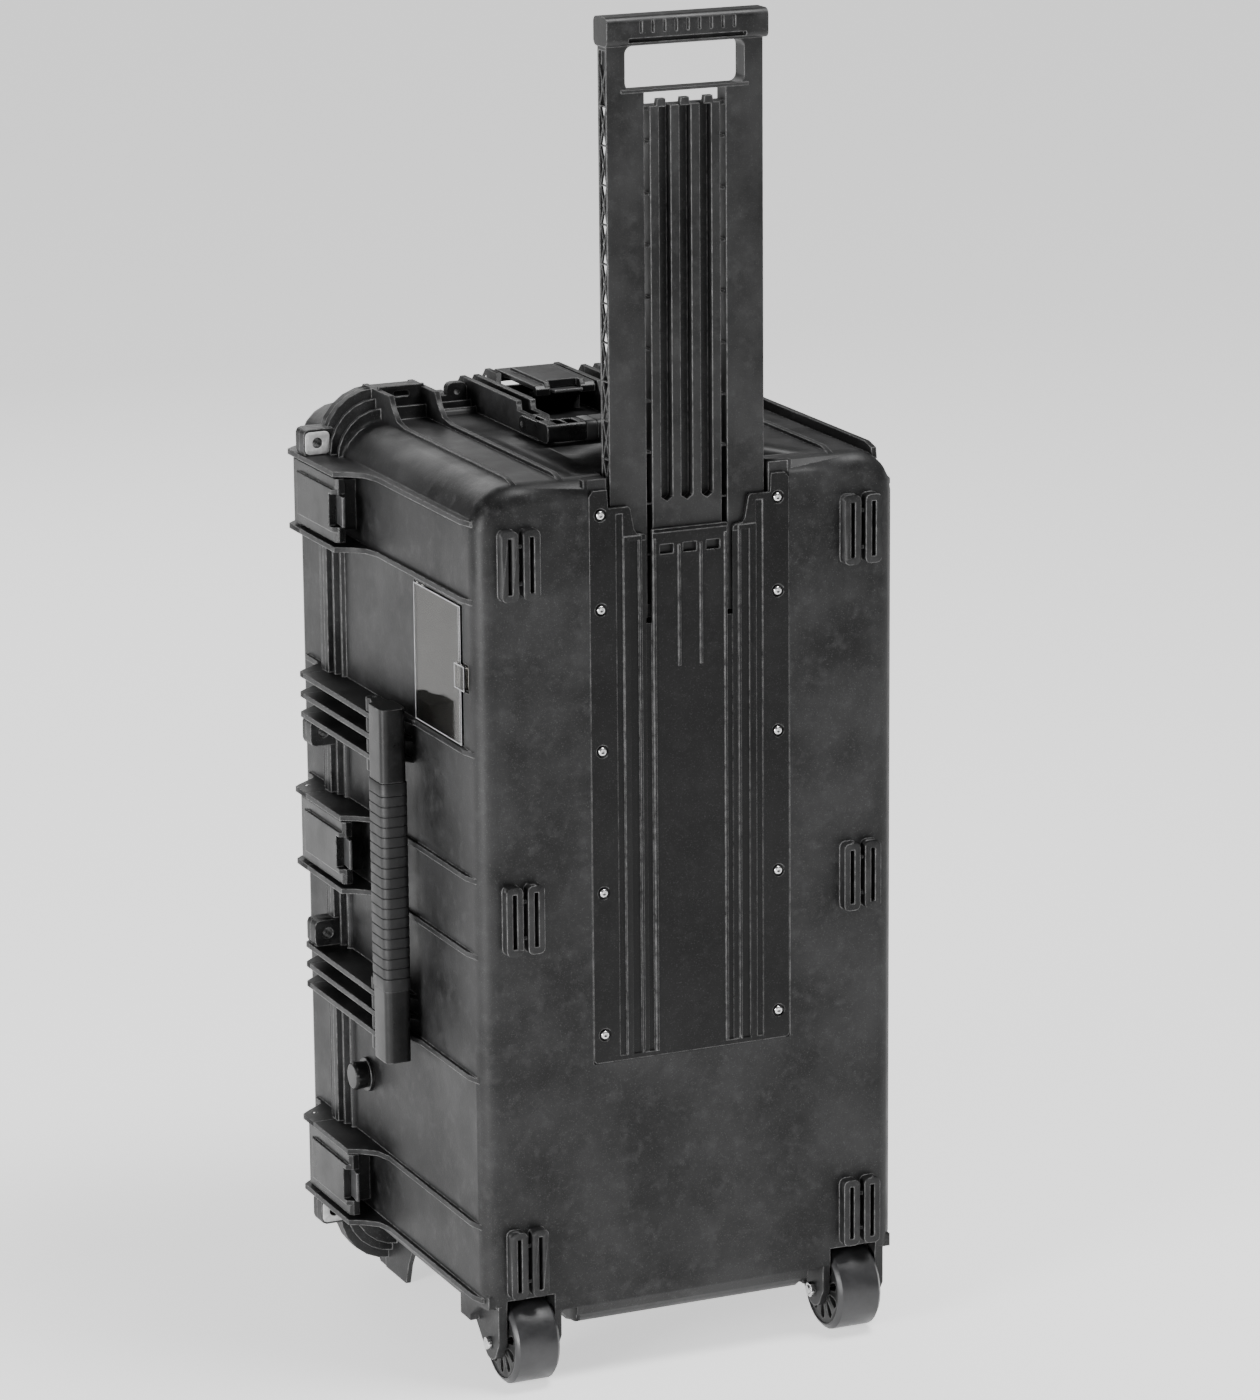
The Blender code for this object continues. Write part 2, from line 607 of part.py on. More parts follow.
def latch_solid(name, kind, centre, outline, low, high, slot):
    """An outline in (y, out) extruded across the latch."""
    rings = [[latch_place(kind, along, y, out, centre) for y, out in outline] for along in (low, high)]
    return loft(name, rings, slot)


def build_latch(name, kind, centre):
    """A latch: a curved arm on a pin in the lid, with a sprung trigger in its notch."""
    out, pivot = LATCH_PIVOT
    shift = 0.0 if kind == "side" else 0.010
    end = 0.2660 + shift
    half = LATCH_HALF
    plate = [(end, 0.0195), (end + 0.0055, 0.0195), (end + 0.0055, 0.0243), (pivot - 0.014, 0.0243),
             (pivot - 0.0055, out - 0.0035)]
    plate += [(pivot + 0.0055 * math.sin(a), out - 0.0055 * math.cos(a)) for a in
              (math.radians(d) for d in (0, 45, 90, 135))]
    plate += [(pivot - 0.004, 0.0285), (end + 0.003, 0.0285), (end, 0.0255)]
    arm = latch_solid(f"latch_arm_{name}", kind, centre, plate, -half, half, "latch_resin")
    band = [(end + 0.001, 0.0270), (end + 0.004, 0.0315), (pivot - 0.020, 0.0315), (pivot - 0.010, 0.0270)]
    unite(arm, latch_solid("band", kind, centre, band, -0.0200, 0.0200, None))
    notch = [(end - 0.004, 0.010), (end + 0.0110, 0.010), (end + 0.0110, 0.040), (end - 0.004, 0.040)]
    cut(arm, latch_solid("notch", kind, centre, notch, -0.0155, 0.0155, None))
    bore = [(pivot + (PIN_R + GAP) * math.cos(a), out + (PIN_R + GAP) * math.sin(a)) for a in
            (2 * math.pi * i / 10 for i in range(10))]
    cut(arm, latch_solid("bore", kind, centre, bore, -half - 0.01, half + 0.01, None))
    smooth(at_joint(arm, latch_place(kind, 0.0, pivot, out, centre)))

    trigger = [(end - 0.0080, 0.0235), (end - 0.0075, 0.0222), (end + 0.0170, 0.0205),
               (end + 0.0190, 0.0215),
               (end + 0.0190, 0.0234), (end + 0.0095, 0.0234), (end - 0.0075, 0.0252)]
    tab = latch_solid(f"latch_trigger_{name}", kind, centre, trigger, -0.0140, 0.0140, "latch_resin")
    smooth(at_joint(tab, latch_place(kind, 0.0, end + 0.0090, 0.0220, centre)))

    pin = [(pivot + PIN_R * math.cos(a), out + PIN_R * math.sin(a)) for a in
           (2 * math.pi * i / 10 for i in range(10))]
    reach = LATCH_FINS + RIB_W / 2
    smooth(latch_solid(f"latch_pin_{name}", kind, centre, pin, -reach, reach, "steel"))


# ---- trolley handle ------------------------------------------------------------------------
def build_trolley_handle():
    """One moulding: two legs, a ribbed plate between them, and the grip across the top."""
    y0, y1 = HANDLE_Y
    top = HANDLE_TOP
    plate_top = MID_Z + 0.7215
    handle = block("trolley_handle", (-HANDLE_HALF, HANDLE_HALF), (y0, y1), (HANDLE_FOOT, top - 0.012),
                   "trolley_resin")
    bow = rounded(0.0120, top - 0.0130, 0.0145, 0.0130, 0.0060, 3)
    unite(handle, prism("bow", bow, "X", -GRIP_HALF, GRIP_HALF))
    removed = [prism("hand hole", rounded(0.0, MID_Z + 0.7560, 0.0575, 0.0195, 0.0060, 3), "Y", -0.05,
                     0.08),
               block("gap", (-0.0395, 0.0395), (-0.05, 0.08), (plate_top, MID_Z + 0.7340))]
    rung, pitch = 0.0016, 0.0463
    for side in (-1, 1):
        x = sorted((side * 0.0338, side * 0.0395))
        low = HANDLE_FOOT + 0.012
        while low < plate_top - 0.010:
            high = min(low + pitch - rung, plate_top - 0.0035)
            removed.append(block("slot", x, (-0.05, 0.08), (low, high)))
            low += pitch
    for x in (-0.0197, 0.0, 0.0197):
        removed.append(block("groove", (x - 0.0056, x + 0.0056), (-0.05, y0 + 0.008), (HANDLE_FOOT + 0.105,
                                                                                     plate_top - 0.0035)))
    for x in (-0.0576, 0.0576):
        removed.append(block("core", (x - 0.0150, x + 0.0150), (y1 - 0.010, 0.08), (HANDLE_FOOT + 0.010,
                                                                                   plate_top)))
    cut(handle, *removed)
    tabs = [prism("tab", [(x - 0.0048, plate_top - 0.002), (x + 0.0048, plate_top - 0.002),
                          (x + 0.0040, plate_top + 0.0062), (x - 0.0040, plate_top + 0.0062)], "Y", y0,
                  y0 + 0.006)
            for x in (-0.0228, 0.0, 0.0228)]
    unite(handle, *tabs)
    return smooth(at_joint(handle, (0.0, sum(HANDLE_Y) / 2, HANDLE_FOOT)))


def cover_outline():
    """Half of the cover's edge, from the bottom middle to the slit beside the tongue."""
    z = MID_Z
    edge = SEAT_HALF - GAP
    corner = [(x, zz) for x, zz in arc(edge - 0.004, SEAT_Z + GAP + 0.004, 0.004, -90, 0, 3)]
    shoulder = [(edge, z + 0.3790), (edge - 0.004, z + 0.3840), (0.0805, z + 0.3840), (0.0795, z + 0.3670),
                (0.0600, z + 0.3670), (0.0580, z + 0.3650), (0.0545, z + 0.3460), (0.0520, z + 0.3420),
                (0.0445, z + 0.3405), (0.0420, z + 0.3380)]
    slit = [(0.0420, z + 0.2600), (0.0405, z + 0.2580), (0.0390, z + 0.2600), (0.0390, z + 0.3400),
            (0.0365, z + 0.3435)]
    return corner + shoulder + slit


def build_trolley_cover():
    """The plate screwed over the channel; its tongue flexes to hold the closed handle."""
    half = cover_outline()
    outline = half + [(-x, z) for x, z in reversed(half)]
    cover = prism("trolley_cover", outline, "Y", 0.0, COVER_T, "trolley_resin")
    low = SEAT_Z + 0.0050
    added = []
    for side in (-1, 1):
        x = side * 0.0580
        strip = [(x - 0.0105, low + 0.004), (x - 0.0085, low), (x + 0.0085, low), (x + 0.0105, low + 0.004)]
        strip += [(x + 0.0105, MID_Z + 0.340), (x - 0.0105, MID_Z + 0.340)]
        added.append(prism("strip", strip, "Y", -0.0012, 0.001))
        added.append(block("rib", (side * 0.0350 - 0.0012, side * 0.0350 + 0.0012), (-0.0012, 0.001),
                           (low, MID_Z + 0.335)))
        added.append(block("rib", (side * 0.0107 - 0.0011, side * 0.0107 + 0.0011), (-0.0014, 0.001),
                           (MID_Z + 0.2165, MID_Z + 0.3280)))
    unite(cover, *added)
    removed = [block("tongue slot", (x - 0.0066, x + 0.0066), (-0.01, 0.01),
                     (MID_Z + 0.3205, MID_Z + 0.3290))
               for x in (-0.0228, 0.0, 0.0228)]
    for side in (-1, 1):
        for z in SCREW_Z:
            removed.append(disc("bore", "Y", (side * SCREW_X, MID_Z + z), 0.0024, -0.01, 0.01, 8))
            removed.append(disc("counterbore", "Y", (side * SCREW_X, MID_Z + z), 0.0050, -0.01, 0.0018, 14))
    cut(cover, *removed)
    return smooth(cover)


def build_panel_screws():
    """Ten socket-head screws round the cover, one shared mesh."""
    profile = [(-0.0011, 0.0026), (-0.0004, 0.0040), (0.0016, 0.0042), (0.0016, 0.0018), (0.0150, 0.0018)]
    mesh = None
    for side, word in ((-1, "left"), (1, "right")):
        for number, z in enumerate(SCREW_Z, 1):
            name = f"panel_screw_{word}_{number}"
            place_at = (side * SCREW_X, 0.0, MID_Z + z)
            if mesh is None:
                screw = turned(name, "Y", (0.0, 0.0), profile, 10, "steel")
                mesh = smooth(screw).data
            else:
                screw = bpy.data.objects.new(name, mesh)
                bpy.context.scene.collection.objects.link(screw)
            screw.location = place_at


# ---- wheels ------------------------------------------------------------------------------------
def build_wheel(side, word):
    """A hub with petal-shaped openings, a tread round it, and its axle bolt and nut."""
    half = WHEEL_W / 2
    middle = side * WHEEL_X
    inner = 0.0345
    hub = turned(f"wheel_hub_{word}", "X", AXLE,
                 [(middle - half + 0.001, inner - GAP), (middle + half - 0.001, inner - GAP)], 28,
                 "wheel_hub")
    removed = [disc("bore", "X", AXLE, AXLE_R + GAP, middle - 0.1, middle + 0.1, 12)]
    for k in range(10):
        a = 2 * math.pi * (k + 0.5) / 10
        petal = []
        for r, w in ((0.0125, 0.0), (0.0165, 0.0026), (0.0235, 0.0042), (0.0285, 0.0040), (0.0308, 0.0),
                     (0.0285, -0.0040), (0.0235, -0.0042), (0.0165, -0.0026)):
            petal.append((AXLE[0] + r * math.cos(a) - w * math.sin(a),
                          AXLE[1] + r * math.sin(a) + w * math.cos(a)))
        removed.append(prism("petal", petal, "X", middle - 0.1, middle + 0.1))
    cut(hub, *removed)
    smooth(at_joint(hub, (middle, *AXLE)))

    rings = []
    for along, radius in ((-half, inner), (-half, WHEEL_R - 0.004), (-half + 0.0035, WHEEL_R),
                          (half - 0.0035, WHEEL_R), (half, WHEEL_R - 0.004), (half, inner)):
        rings.append([place(p, "X", middle + along) for p in circle(*AXLE, radius, 28)])
    smooth(at_joint(loft(f"wheel_tread_{word}", rings, "wheel_tread", ring_shape=True), (middle, *AXLE)))

    outer = WHEEL_X + half + 0.0100 + GAP
    nut_at = WHEEL_X - half - 0.0085 - GAP
    bolt = [(outer + 0.0042, 0.0045), (outer + 0.0042, 0.0058), (outer, 0.0062), (outer, AXLE_R),
            (nut_at - 0.0062, AXLE_R)]
    smooth(turned(f"axle_bolt_{word}", "X", AXLE, [(side * x, r) for x, r in bolt], 12, "steel"))
    nut = turned(f"axle_nut_{word}", "X", AXLE, [(side * nut_at, 0.0074),
                                                 (side * (nut_at - 0.0050), 0.0074)], 6,
                 "steel")
    cut(nut, disc("bore", "X", AXLE, AXLE_R + GAP,
                  *sorted((side * (nut_at + 0.01), side * (nut_at - 0.01))), 12))


# ---- carry handles -------------------------------------------------------------------------------
def build_side_handle():
    """The big handle of the latch side: a bar on four plates at each end, a soft grip, two pins."""
    out, y = CARRY_PIVOT
    x0 = -HALF_W
    bar_x, bar_y = x0 - CARRY_BAR[0], CARRY_BAR[1]
    section = rounded(bar_x, bar_y, 0.0125, 0.0175, 0.0060, 3)
    core = rounded(bar_x, bar_y, 0.0100, 0.0145, 0.0050, 3)
    frame = prism("side_handle_frame", section, "Z", MID_Z - CARRY_HALF, MID_Z + CARRY_HALF, "latch_resin")
    waist = prism("waist", rounded(bar_x, bar_y, 0.05, 0.05, 0.006, 3), "Z", MID_Z - CARRY_GRIP,
                  MID_Z + CARRY_GRIP)
    cut(frame, waist)
    unite(frame, prism("core", core, "Z", MID_Z - CARRY_GRIP - 0.004, MID_Z + CARRY_GRIP + 0.004))
    eye = [(x0 - out + a, y + b) for a, b in arc(0, 0, 0.0075, -40, 220, 8)]
    back = bar_y + 0.0145
    plate = eye + [(x0 - 0.0345, back), (x0 - 0.0345, back - 0.006), (x0 - 0.0165, back - 0.006),
                   (x0 - 0.0165, back)]
    plates = []
    for sign in (-1, 1):
        for k in range(4):
            middle = RIB_Z[1] - (k - 0.5) * FIN_STEP
            half = (FIN_STEP - RIB_W) / 2 - 0.0010
            low, high = max(middle - half, CARRY_GRIP + GAP), middle + half
            if k == 0:
                high = CARRY_HALF - 0.0002
            plates.append(prism("plate", plate, "Z", *sorted((MID_Z + sign * low, MID_Z + sign * high))))
    unite(frame, *plates)
    bore = disc("bore", "Z", (x0 - out, y), PIN_R + GAP, MID_Z - 0.2, MID_Z + 0.2, 10)
    cut(frame, bore)
    smooth(at_joint(frame, (x0 - out, y, MID_Z)))

    grip = prism("side_handle_grip", rounded(bar_x, bar_y, 0.0135, 0.0185, 0.0070, 3), "Z",
                 MID_Z - CARRY_GRIP + GAP, MID_Z + CARRY_GRIP - GAP, "grip_rubber")
    hole = rounded(bar_x, bar_y, 0.0100 + GAP, 0.0145 + GAP, 0.0050, 3)
    cut(grip, prism("hole", hole, "Z", MID_Z - 0.2, MID_Z + 0.2))
    smooth(at_joint(grip, (x0 - out, y, MID_Z)))
    for sign, word in ((1, "upper"), (-1, "lower")):
        z = sorted((MID_Z + sign * (RIB_Z[1] - 2.9 * FIN_STEP), MID_Z + sign * 0.1670))
        smooth(disc(f"side_handle_pin_{word}", "Z", (x0 - out, y), PIN_R, *z, 10, "steel"))


def build_end_handle():
    """The folding handle on the upper end: a bar on two arms, a soft grip, two pins."""
    y, z = END_PIVOT
    bar_y, bar_z = 0.1535, MID_Z + HALF_L + 0.0125
    frame = prism("end_handle_frame", rounded(bar_y, bar_z, 0.0140, 0.0087, 0.0045, 3), "X", -END_HALF,
                  END_HALF,
                  "latch_resin")
    grip_half = 0.0385
    cut(frame, block("waist", (-grip_half, grip_half), (0.0, 0.5), (0.5, 1.0)))
    unite(frame, prism("core", rounded(bar_y, bar_z, 0.0110, 0.0062, 0.0030, 3), "X", -grip_half - 0.004,
                       grip_half + 0.004))
    arm = [(y + a, z + b) for a, b in arc(0, 0, 0.0080, -90, 90, 6)]
    arm += [(bar_y, bar_z + 0.0075), (bar_y, bar_z - 0.0075)]
    fin_out, fin_in = END_FINS[1], END_FINS[0]
    clear = RIB_W / 2 + 0.0008
    arms = []
    for side in (-1, 1):
        arms.append(prism("arm", arm, "X", *sorted((side * (fin_out + clear), side * END_HALF))))
        arms.append(prism("arm", arm, "X", *sorted((side * (fin_in + clear), side * (fin_out - clear)))))
    unite(frame, *arms)
    pockets = [block("pocket", sorted((side * a, side * b)), (bar_y - 0.0105, bar_y + 0.0105),
                     (bar_z - 0.002, 1.0))
               for side in (-1, 1) for a, b in ((0.0445, 0.0555), (0.0575, 0.0670))]
    cut(frame, disc("bore", "X", END_PIVOT, PIN_R + GAP, -0.1, 0.1, 10), *pockets)
    smooth(at_joint(frame, (0.0, y, z)))

    grip = prism("end_handle_grip", rounded(bar_y, bar_z, 0.0150, 0.0096, 0.0055, 3), "X", -grip_half + GAP,
                 grip_half - GAP, "grip_rubber")
    cut(grip, prism("hole", rounded(bar_y, bar_z, 0.0110 + GAP, 0.0062 + GAP, 0.0030, 3), "X", -0.1, 0.1))
    smooth(at_joint(grip, (0.0, y, z)))
    for side, word in ((-1, "left"), (1, "right")):
        x = sorted((side * (fin_in - RIB_W / 2), side * (END_HALF - 0.0005)))
        smooth(disc(f"end_handle_pin_{word}", "X", END_PIVOT, PIN_R, *x, 10, "steel"))


# ---- window, valve and padlock plates ---------------------------------------------------------------
def build_window():
    """The clear flap over the label bed, hinged at its far edge, and its clip."""
    x = -HALF_W + 0.0014
    flap = block("label_window", (x - 0.0026, x), WINDOW_Y, WINDOW_Z, "clear_window")
    hinge = (x - 0.0013, WINDOW_Y[1] - 0.0013, sum(WINDOW_Z) / 2)
    at_joint(flap, hinge)
    middle = sum(WINDOW_Z) / 2
    clip = block("label_window_clip", (x - 0.0050, x - 0.0026 - GAP),
                 (WINDOW_Y[0] - 0.0130, WINDOW_Y[0] + 0.0100),
                 (middle - 0.0115, middle + 0.0115), "clear_window")
    unite(clip, block("hook", (x - 0.0040, x + 0.0004), (WINDOW_Y[0] - 0.0130, WINDOW_Y[0] - 0.0030),
                      (middle - 0.0095, middle + 0.0095)))
    at_joint(clip, hinge)


def build_valve():
    """The pressure valve: a flanged body through the wall and a knob screwed on it."""
    y, z = VALVE
    wall = -HALF_W
    body = turned("valve_body", "X", VALVE,
                  [(wall + 0.0120, 0.0085), (wall - GAP, 0.0085), (wall - GAP, 0.0165),
                   (wall - 0.0040, 0.0160),
                   (wall - 0.0040, 0.0050), (wall - 0.0100, 0.0050)], 24, "latch_resin")
    smooth(body)
    knob = turned("valve_knob", "X", VALVE,
                  [(wall - 0.0043, 0.0125), (wall - 0.0150, 0.0135), (wall - 0.0175, 0.0115)], 24,
                  "latch_resin")
    lobes = [disc("lobe", "X", (y + 0.0150 * math.cos(a), z + 0.0150 * math.sin(a)), 0.0022, wall - 0.03,
                  wall - 0.0060, 8)
             for a in (2 * math.pi * k / 12 for k in range(12))]
    lobes.append(disc("bore", "X", VALVE, 0.0050 + GAP, wall - 0.0105, wall, 12))
    cut(knob, *lobes)
    smooth(at_joint(knob, (wall - 0.0043, y, z)))


def build_padlock_plates():
    """Steel plates that line the holes of the two outer tabs, on the base and on the lid."""
    for z, word in ((TAB_Z[0], "upper"), (TAB_Z[1], "lower")):
        for shell, y in (("base", (0.3400 - GAP - 0.0016, 0.3400 - GAP)),
                         ("lid", (0.3610 + GAP, 0.3610 + GAP + 0.0016))):
            outline = rounded(-HALF_W - TAB_OUT, MID_Z + z, 0.0120, 0.0106, 0.0040, 2)
            plate = prism(f"padlock_plate_{shell}_{word}", outline, "Y", *y, "steel")
            cut(plate, disc("hole", "Y", (-HALF_W - TAB_OUT, MID_Z + z), TAB_HOLE_R, 0.0, 0.5, 12))


# ---- the model ---------------------------------------------------------------------------------------
for old in list(bpy.data.objects):
    bpy.data.objects.remove(old)

build_base()
build_lid()
build_gasket()
build_hinge_pins()
for latch_name, latch_z in zip(("upper", "middle", "lower"), latch_middles()):
    build_latch(latch_name, "side", latch_z)
build_latch("top", "top", MID_Z)
build_latch("bottom", "bottom", MID_Z)
build_trolley_handle()
build_trolley_cover()
build_panel_screws()
build_wheel(-1, "left")
build_wheel(1, "right")
build_side_handle()
build_end_handle()
build_window()
build_valve()
build_padlock_plates()
for piece in bpy.data.objects:
    piece.location -= Vector((CENTRE_X, CENTRE_Y, 0.0))
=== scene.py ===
import json
import math

import bmesh
import bpy
from mathutils import Matrix, Vector


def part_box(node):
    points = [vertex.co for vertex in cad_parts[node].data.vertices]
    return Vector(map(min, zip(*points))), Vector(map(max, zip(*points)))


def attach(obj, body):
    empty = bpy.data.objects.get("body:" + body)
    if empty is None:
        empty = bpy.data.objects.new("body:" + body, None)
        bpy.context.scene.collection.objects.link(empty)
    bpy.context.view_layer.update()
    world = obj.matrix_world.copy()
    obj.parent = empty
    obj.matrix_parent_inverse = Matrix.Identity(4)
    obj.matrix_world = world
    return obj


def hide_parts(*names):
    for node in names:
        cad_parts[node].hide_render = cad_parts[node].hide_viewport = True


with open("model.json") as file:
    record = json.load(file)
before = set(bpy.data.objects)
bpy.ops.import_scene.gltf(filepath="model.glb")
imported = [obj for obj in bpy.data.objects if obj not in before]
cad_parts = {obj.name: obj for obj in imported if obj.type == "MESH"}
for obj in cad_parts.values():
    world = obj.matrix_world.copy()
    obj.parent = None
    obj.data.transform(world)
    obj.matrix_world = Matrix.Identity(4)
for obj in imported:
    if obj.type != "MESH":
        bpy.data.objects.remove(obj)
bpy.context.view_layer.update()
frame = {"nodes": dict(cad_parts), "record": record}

# ---- Shells -------------------------------------------------------------------------
# The deep base and the shallow lid are thick injection mouldings in black resin, with a
# lightly textured, cloudy skin. Every corner of the moulding has a small radius, so its ribs,
# towers and rim steps catch a thin line of light, and a painted highlight lightens it further.
BODY_OF = {node: body for body, nodes in frame["record"]["behaviour"]["bodies"].items() for node in nodes}
CASE_MIDDLE = Vector((0.00275, -0.2160, 0.0))   # the middle of the trolley face, on the ground
RESIN_DARK = (0.0035, 0.0035, 0.0037)
RESIN_LIGHT = (0.0250, 0.0250, 0.0255)
MOULD_RADIUS = 0.0018                           # on every edge of a moulding
ROUNDED_FROM, SHARP_FROM = 28, 34               # degrees between two faces at an edge
JOINED_WITHIN = 0.00001                         # points this near each other are one point


def link(tree, out_socket, in_socket):
    tree.links.new(out_socket, in_socket)


def noise(tree, coords, scale, detail=3.0, roughness=0.5):
    node = tree.nodes.new("ShaderNodeTexNoise")
    node.inputs["Scale"].default_value = scale
    node.inputs["Detail"].default_value = detail
    node.inputs["Roughness"].default_value = roughness
    link(tree, coords, node.inputs["Vector"])
    return node.outputs["Fac"]


def spread(tree, value, low, high, to_low=0.0, to_high=1.0):
    node = tree.nodes.new("ShaderNodeMapRange")
    for socket, number in zip(("From Min", "From Max", "To Min", "To Max"), (low, high, to_low, to_high)):
        node.inputs[socket].default_value = number
    link(tree, value, node.inputs["Value"])
    return node.outputs["Result"]


def mix_colour(tree, factor, first, second):
    node = tree.nodes.new("ShaderNodeMix")
    node.data_type = "RGBA"
    link(tree, factor, node.inputs["Factor"])
    for socket, value in ((node.inputs["A"], first), (node.inputs["B"], second)):
        if isinstance(value, tuple):
            socket.default_value = (*value, 1.0)
        else:
            link(tree, value, socket)
    return node.outputs["Result"]


def bump(tree, height, strength, distance, below=None):
    node = tree.nodes.new("ShaderNodeBump")
    node.inputs["Strength"].default_value = strength
    node.inputs["Distance"].default_value = distance
    link(tree, height, node.inputs["Height"])
    if below is not None:
        link(tree, below, node.inputs["Normal"])
    return node.outputs["Normal"]


def times(tree, first, second):
    node = tree.nodes.new("ShaderNodeMath")
    node.operation = "MULTIPLY"
    link(tree, first, node.inputs[0])
    link(tree, second, node.inputs[1])
    return node.outputs["Value"]


def edge_rounding(tree, radius):
    """The normal of a small moulding radius on every edge, and how near a point is to such an edge."""
    rounded = tree.nodes.new("ShaderNodeBevel")
    rounded.samples = 6
    rounded.inputs["Radius"].default_value = radius
    facing = tree.nodes.new("ShaderNodeVectorMath")
    facing.operation = "DOT_PRODUCT"
    link(tree, rounded.outputs["Normal"], facing.inputs[0])
    link(tree, tree.nodes.new("ShaderNodeNewGeometry").outputs["Normal"], facing.inputs[1])
    return rounded.outputs["Normal"], spread(tree, facing.outputs["Value"], 1.0, 0.0)


def moulded_plastic(name, dark, light, gloss, speckle, grain, edge=0.60, sheen=0.27):
    """Black moulded plastic: cloudy colour, light specks, rubbed edges that also carry a painted highlight,
    and a fine orange-peel skin.
    """
    material = bpy.data.materials.new(name)
    material.use_nodes = True
    tree = material.node_tree
    shader = tree.nodes["Principled BSDF"]
    coords = tree.nodes.new("ShaderNodeTexCoord").outputs["Object"]
    clouds = spread(tree, noise(tree, coords, 13.0, 6.0, 0.62), 0.36, 0.66)
    colour = mix_colour(tree, clouds, dark, light)
    blotches = spread(tree, noise(tree, coords, 70.0, 5.0, 0.65), 0.52, 0.74, 0.0, 0.55)
    colour = mix_colour(tree, blotches, colour, tuple(c * 1.7 for c in light))
    specks = spread(tree, noise(tree, coords, 900.0, 2.0, 0.5), 0.60, 0.74, 0.0, speckle)
    colour = mix_colour(tree, specks, colour, (0.16, 0.16, 0.16))
    rounded, edges = edge_rounding(tree, MOULD_RADIUS)
    # Edges lighten toward grey: partly rubbed wear, partly a painted highlight for the light that the
    # rounded edges catch.
    broken = spread(tree, noise(tree, coords, 160.0, 4.0, 0.7), 0.30, 0.66)
    rubbed_and_highlit_edges = times(tree, spread(tree, edges, 0.01, 0.14, 0.0, edge), broken)
    colour = mix_colour(tree, rubbed_and_highlit_edges, colour, (0.40, 0.40, 0.40))
    link(tree, colour, shader.inputs["Base Color"])
    worn = noise(tree, coords, 26.0, 5.0, 0.6)
    link(tree, spread(tree, worn, 0.3, 0.7, gloss - 0.09, gloss + 0.09), shader.inputs["Roughness"])
    peel = bump(tree, noise(tree, coords, 420.0, 3.0, 0.6), grain, 0.0004, rounded)
    link(tree, bump(tree, noise(tree, coords, 38.0, 3.0, 0.5), grain * 0.35, 0.0020, peel),
         shader.inputs["Normal"])
    shader.inputs["Specular IOR Level"].default_value = sheen
    return material


def plain_piece(name, mesh, body, material, replaced=()):
    """Puts a finished mesh in the scene as a piece that rides on a body."""
    piece = bpy.data.objects.new(name, mesh)
    bpy.context.scene.collection.objects.link(piece)
    piece.data.materials.clear()
    piece.data.materials.append(material)
    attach(piece, body)
    if replaced:
        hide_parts(*replaced)
    return piece


def softened(mesh, width):
    """The mesh with every sharp edge rounded to a small radius. At a width of 0 its shape stays, and
    only its shading is evened out between its sharp edges."""
    holder = bpy.data.objects.new("softened", mesh)
    bpy.context.scene.collection.objects.link(holder)
    mesh.shade_smooth()
    if width:
        edge = holder.modifiers.new("edge", "BEVEL")
        edge.width = width
        edge.segments = 2
        edge.limit_method = "ANGLE"
        edge.angle_limit = math.radians(ROUNDED_FROM)
        edge.harden_normals = True
    else:
        mesh.set_sharp_from_angle(angle=math.radians(SHARP_FROM))
        even = holder.modifiers.new("even", "WEIGHTED_NORMAL")
        even.weight = 100
        even.keep_sharp = True
    graph = bpy.context.evaluated_depsgraph_get()
    result = bpy.data.meshes.new_from_object(holder.evaluated_get(graph))
    bpy.data.objects.remove(holder)
    return result


def merged_copy(node):
    """A CAD node's mesh with its loose triangles joined, and with its flat faces made whole."""
    bm = bmesh.new()
    bm.from_mesh(frame["nodes"][node].data)
    bmesh.ops.remove_doubles(bm, verts=bm.verts, dist=JOINED_WITHIN)
    bmesh.ops.dissolve_limit(bm, angle_limit=math.radians(1.0), verts=bm.verts, edges=bm.edges)
    mesh = bpy.data.meshes.new(node)
    bm.to_mesh(mesh)
    bm.free()
    return mesh


def finished_node(node, width, material):
    """A CAD node kept in its shape, with rounded edges and its real finish. A width of 0 leaves the
    rounding to the finish."""
    mesh = softened(merged_copy(node), width)
    return plain_piece(f"{node}_moulding", mesh, BODY_OF[node], material, (node,))


def ring_mesh(name, rings, closed_ends=True):
    """A closed mesh through rings of points of equal count."""
    bm = bmesh.new()
    rows = [[bm.verts.new(p) for p in ring] for ring in rings]
    count = len(rings[0])
    for low, high in zip(rows, rows[1:]):
        for i in range(count):
            j = (i + 1) % count
            bm.faces.new((low[i], low[j], high[j], high[i]))
    if closed_ends:
        bm.faces.new(rows[0])
        bm.faces.new(rows[-1])
    bmesh.ops.recalc_face_normals(bm, faces=bm.faces)
    mesh = bpy.data.meshes.new(name)
    bm.to_mesh(mesh)
    bm.free()
    return mesh


def loose(mesh):
    piece = bpy.data.objects.new("work piece", mesh)
    bpy.context.scene.collection.objects.link(piece)
    return piece


def place_on(axis, point, along):
    a, b = point
    return {"X": (along, a, b), "Y": (a, along, b), "Z": (a, b, along)}[axis]


def bar(axis, outline, low, high):
    """An outline drawn out along an axis."""
    return loose(ring_mesh("bar", [[place_on(axis, p, along) for p in outline] for along in (low, high)]))


def brick(x, y, z):
    return bar("Y", [(x[0], z[0]), (x[1], z[0]), (x[1], z[1]), (x[0], z[1])], *y)


def soft_corners(cx, cy, half_x, half_y, radius, steps=6):
    points = []
    for sx, sy, start in ((1, 1, 0), (-1, 1, 90), (-1, -1, 180), (1, -1, 270)):
        for k in range(steps + 1):
            a = math.radians(start + 90 * k / steps)
            points.append((cx + sx * (half_x - radius) + radius * math.cos(a),
                           cy + sy * (half_y - radius) + radius * math.sin(a)))
    return points


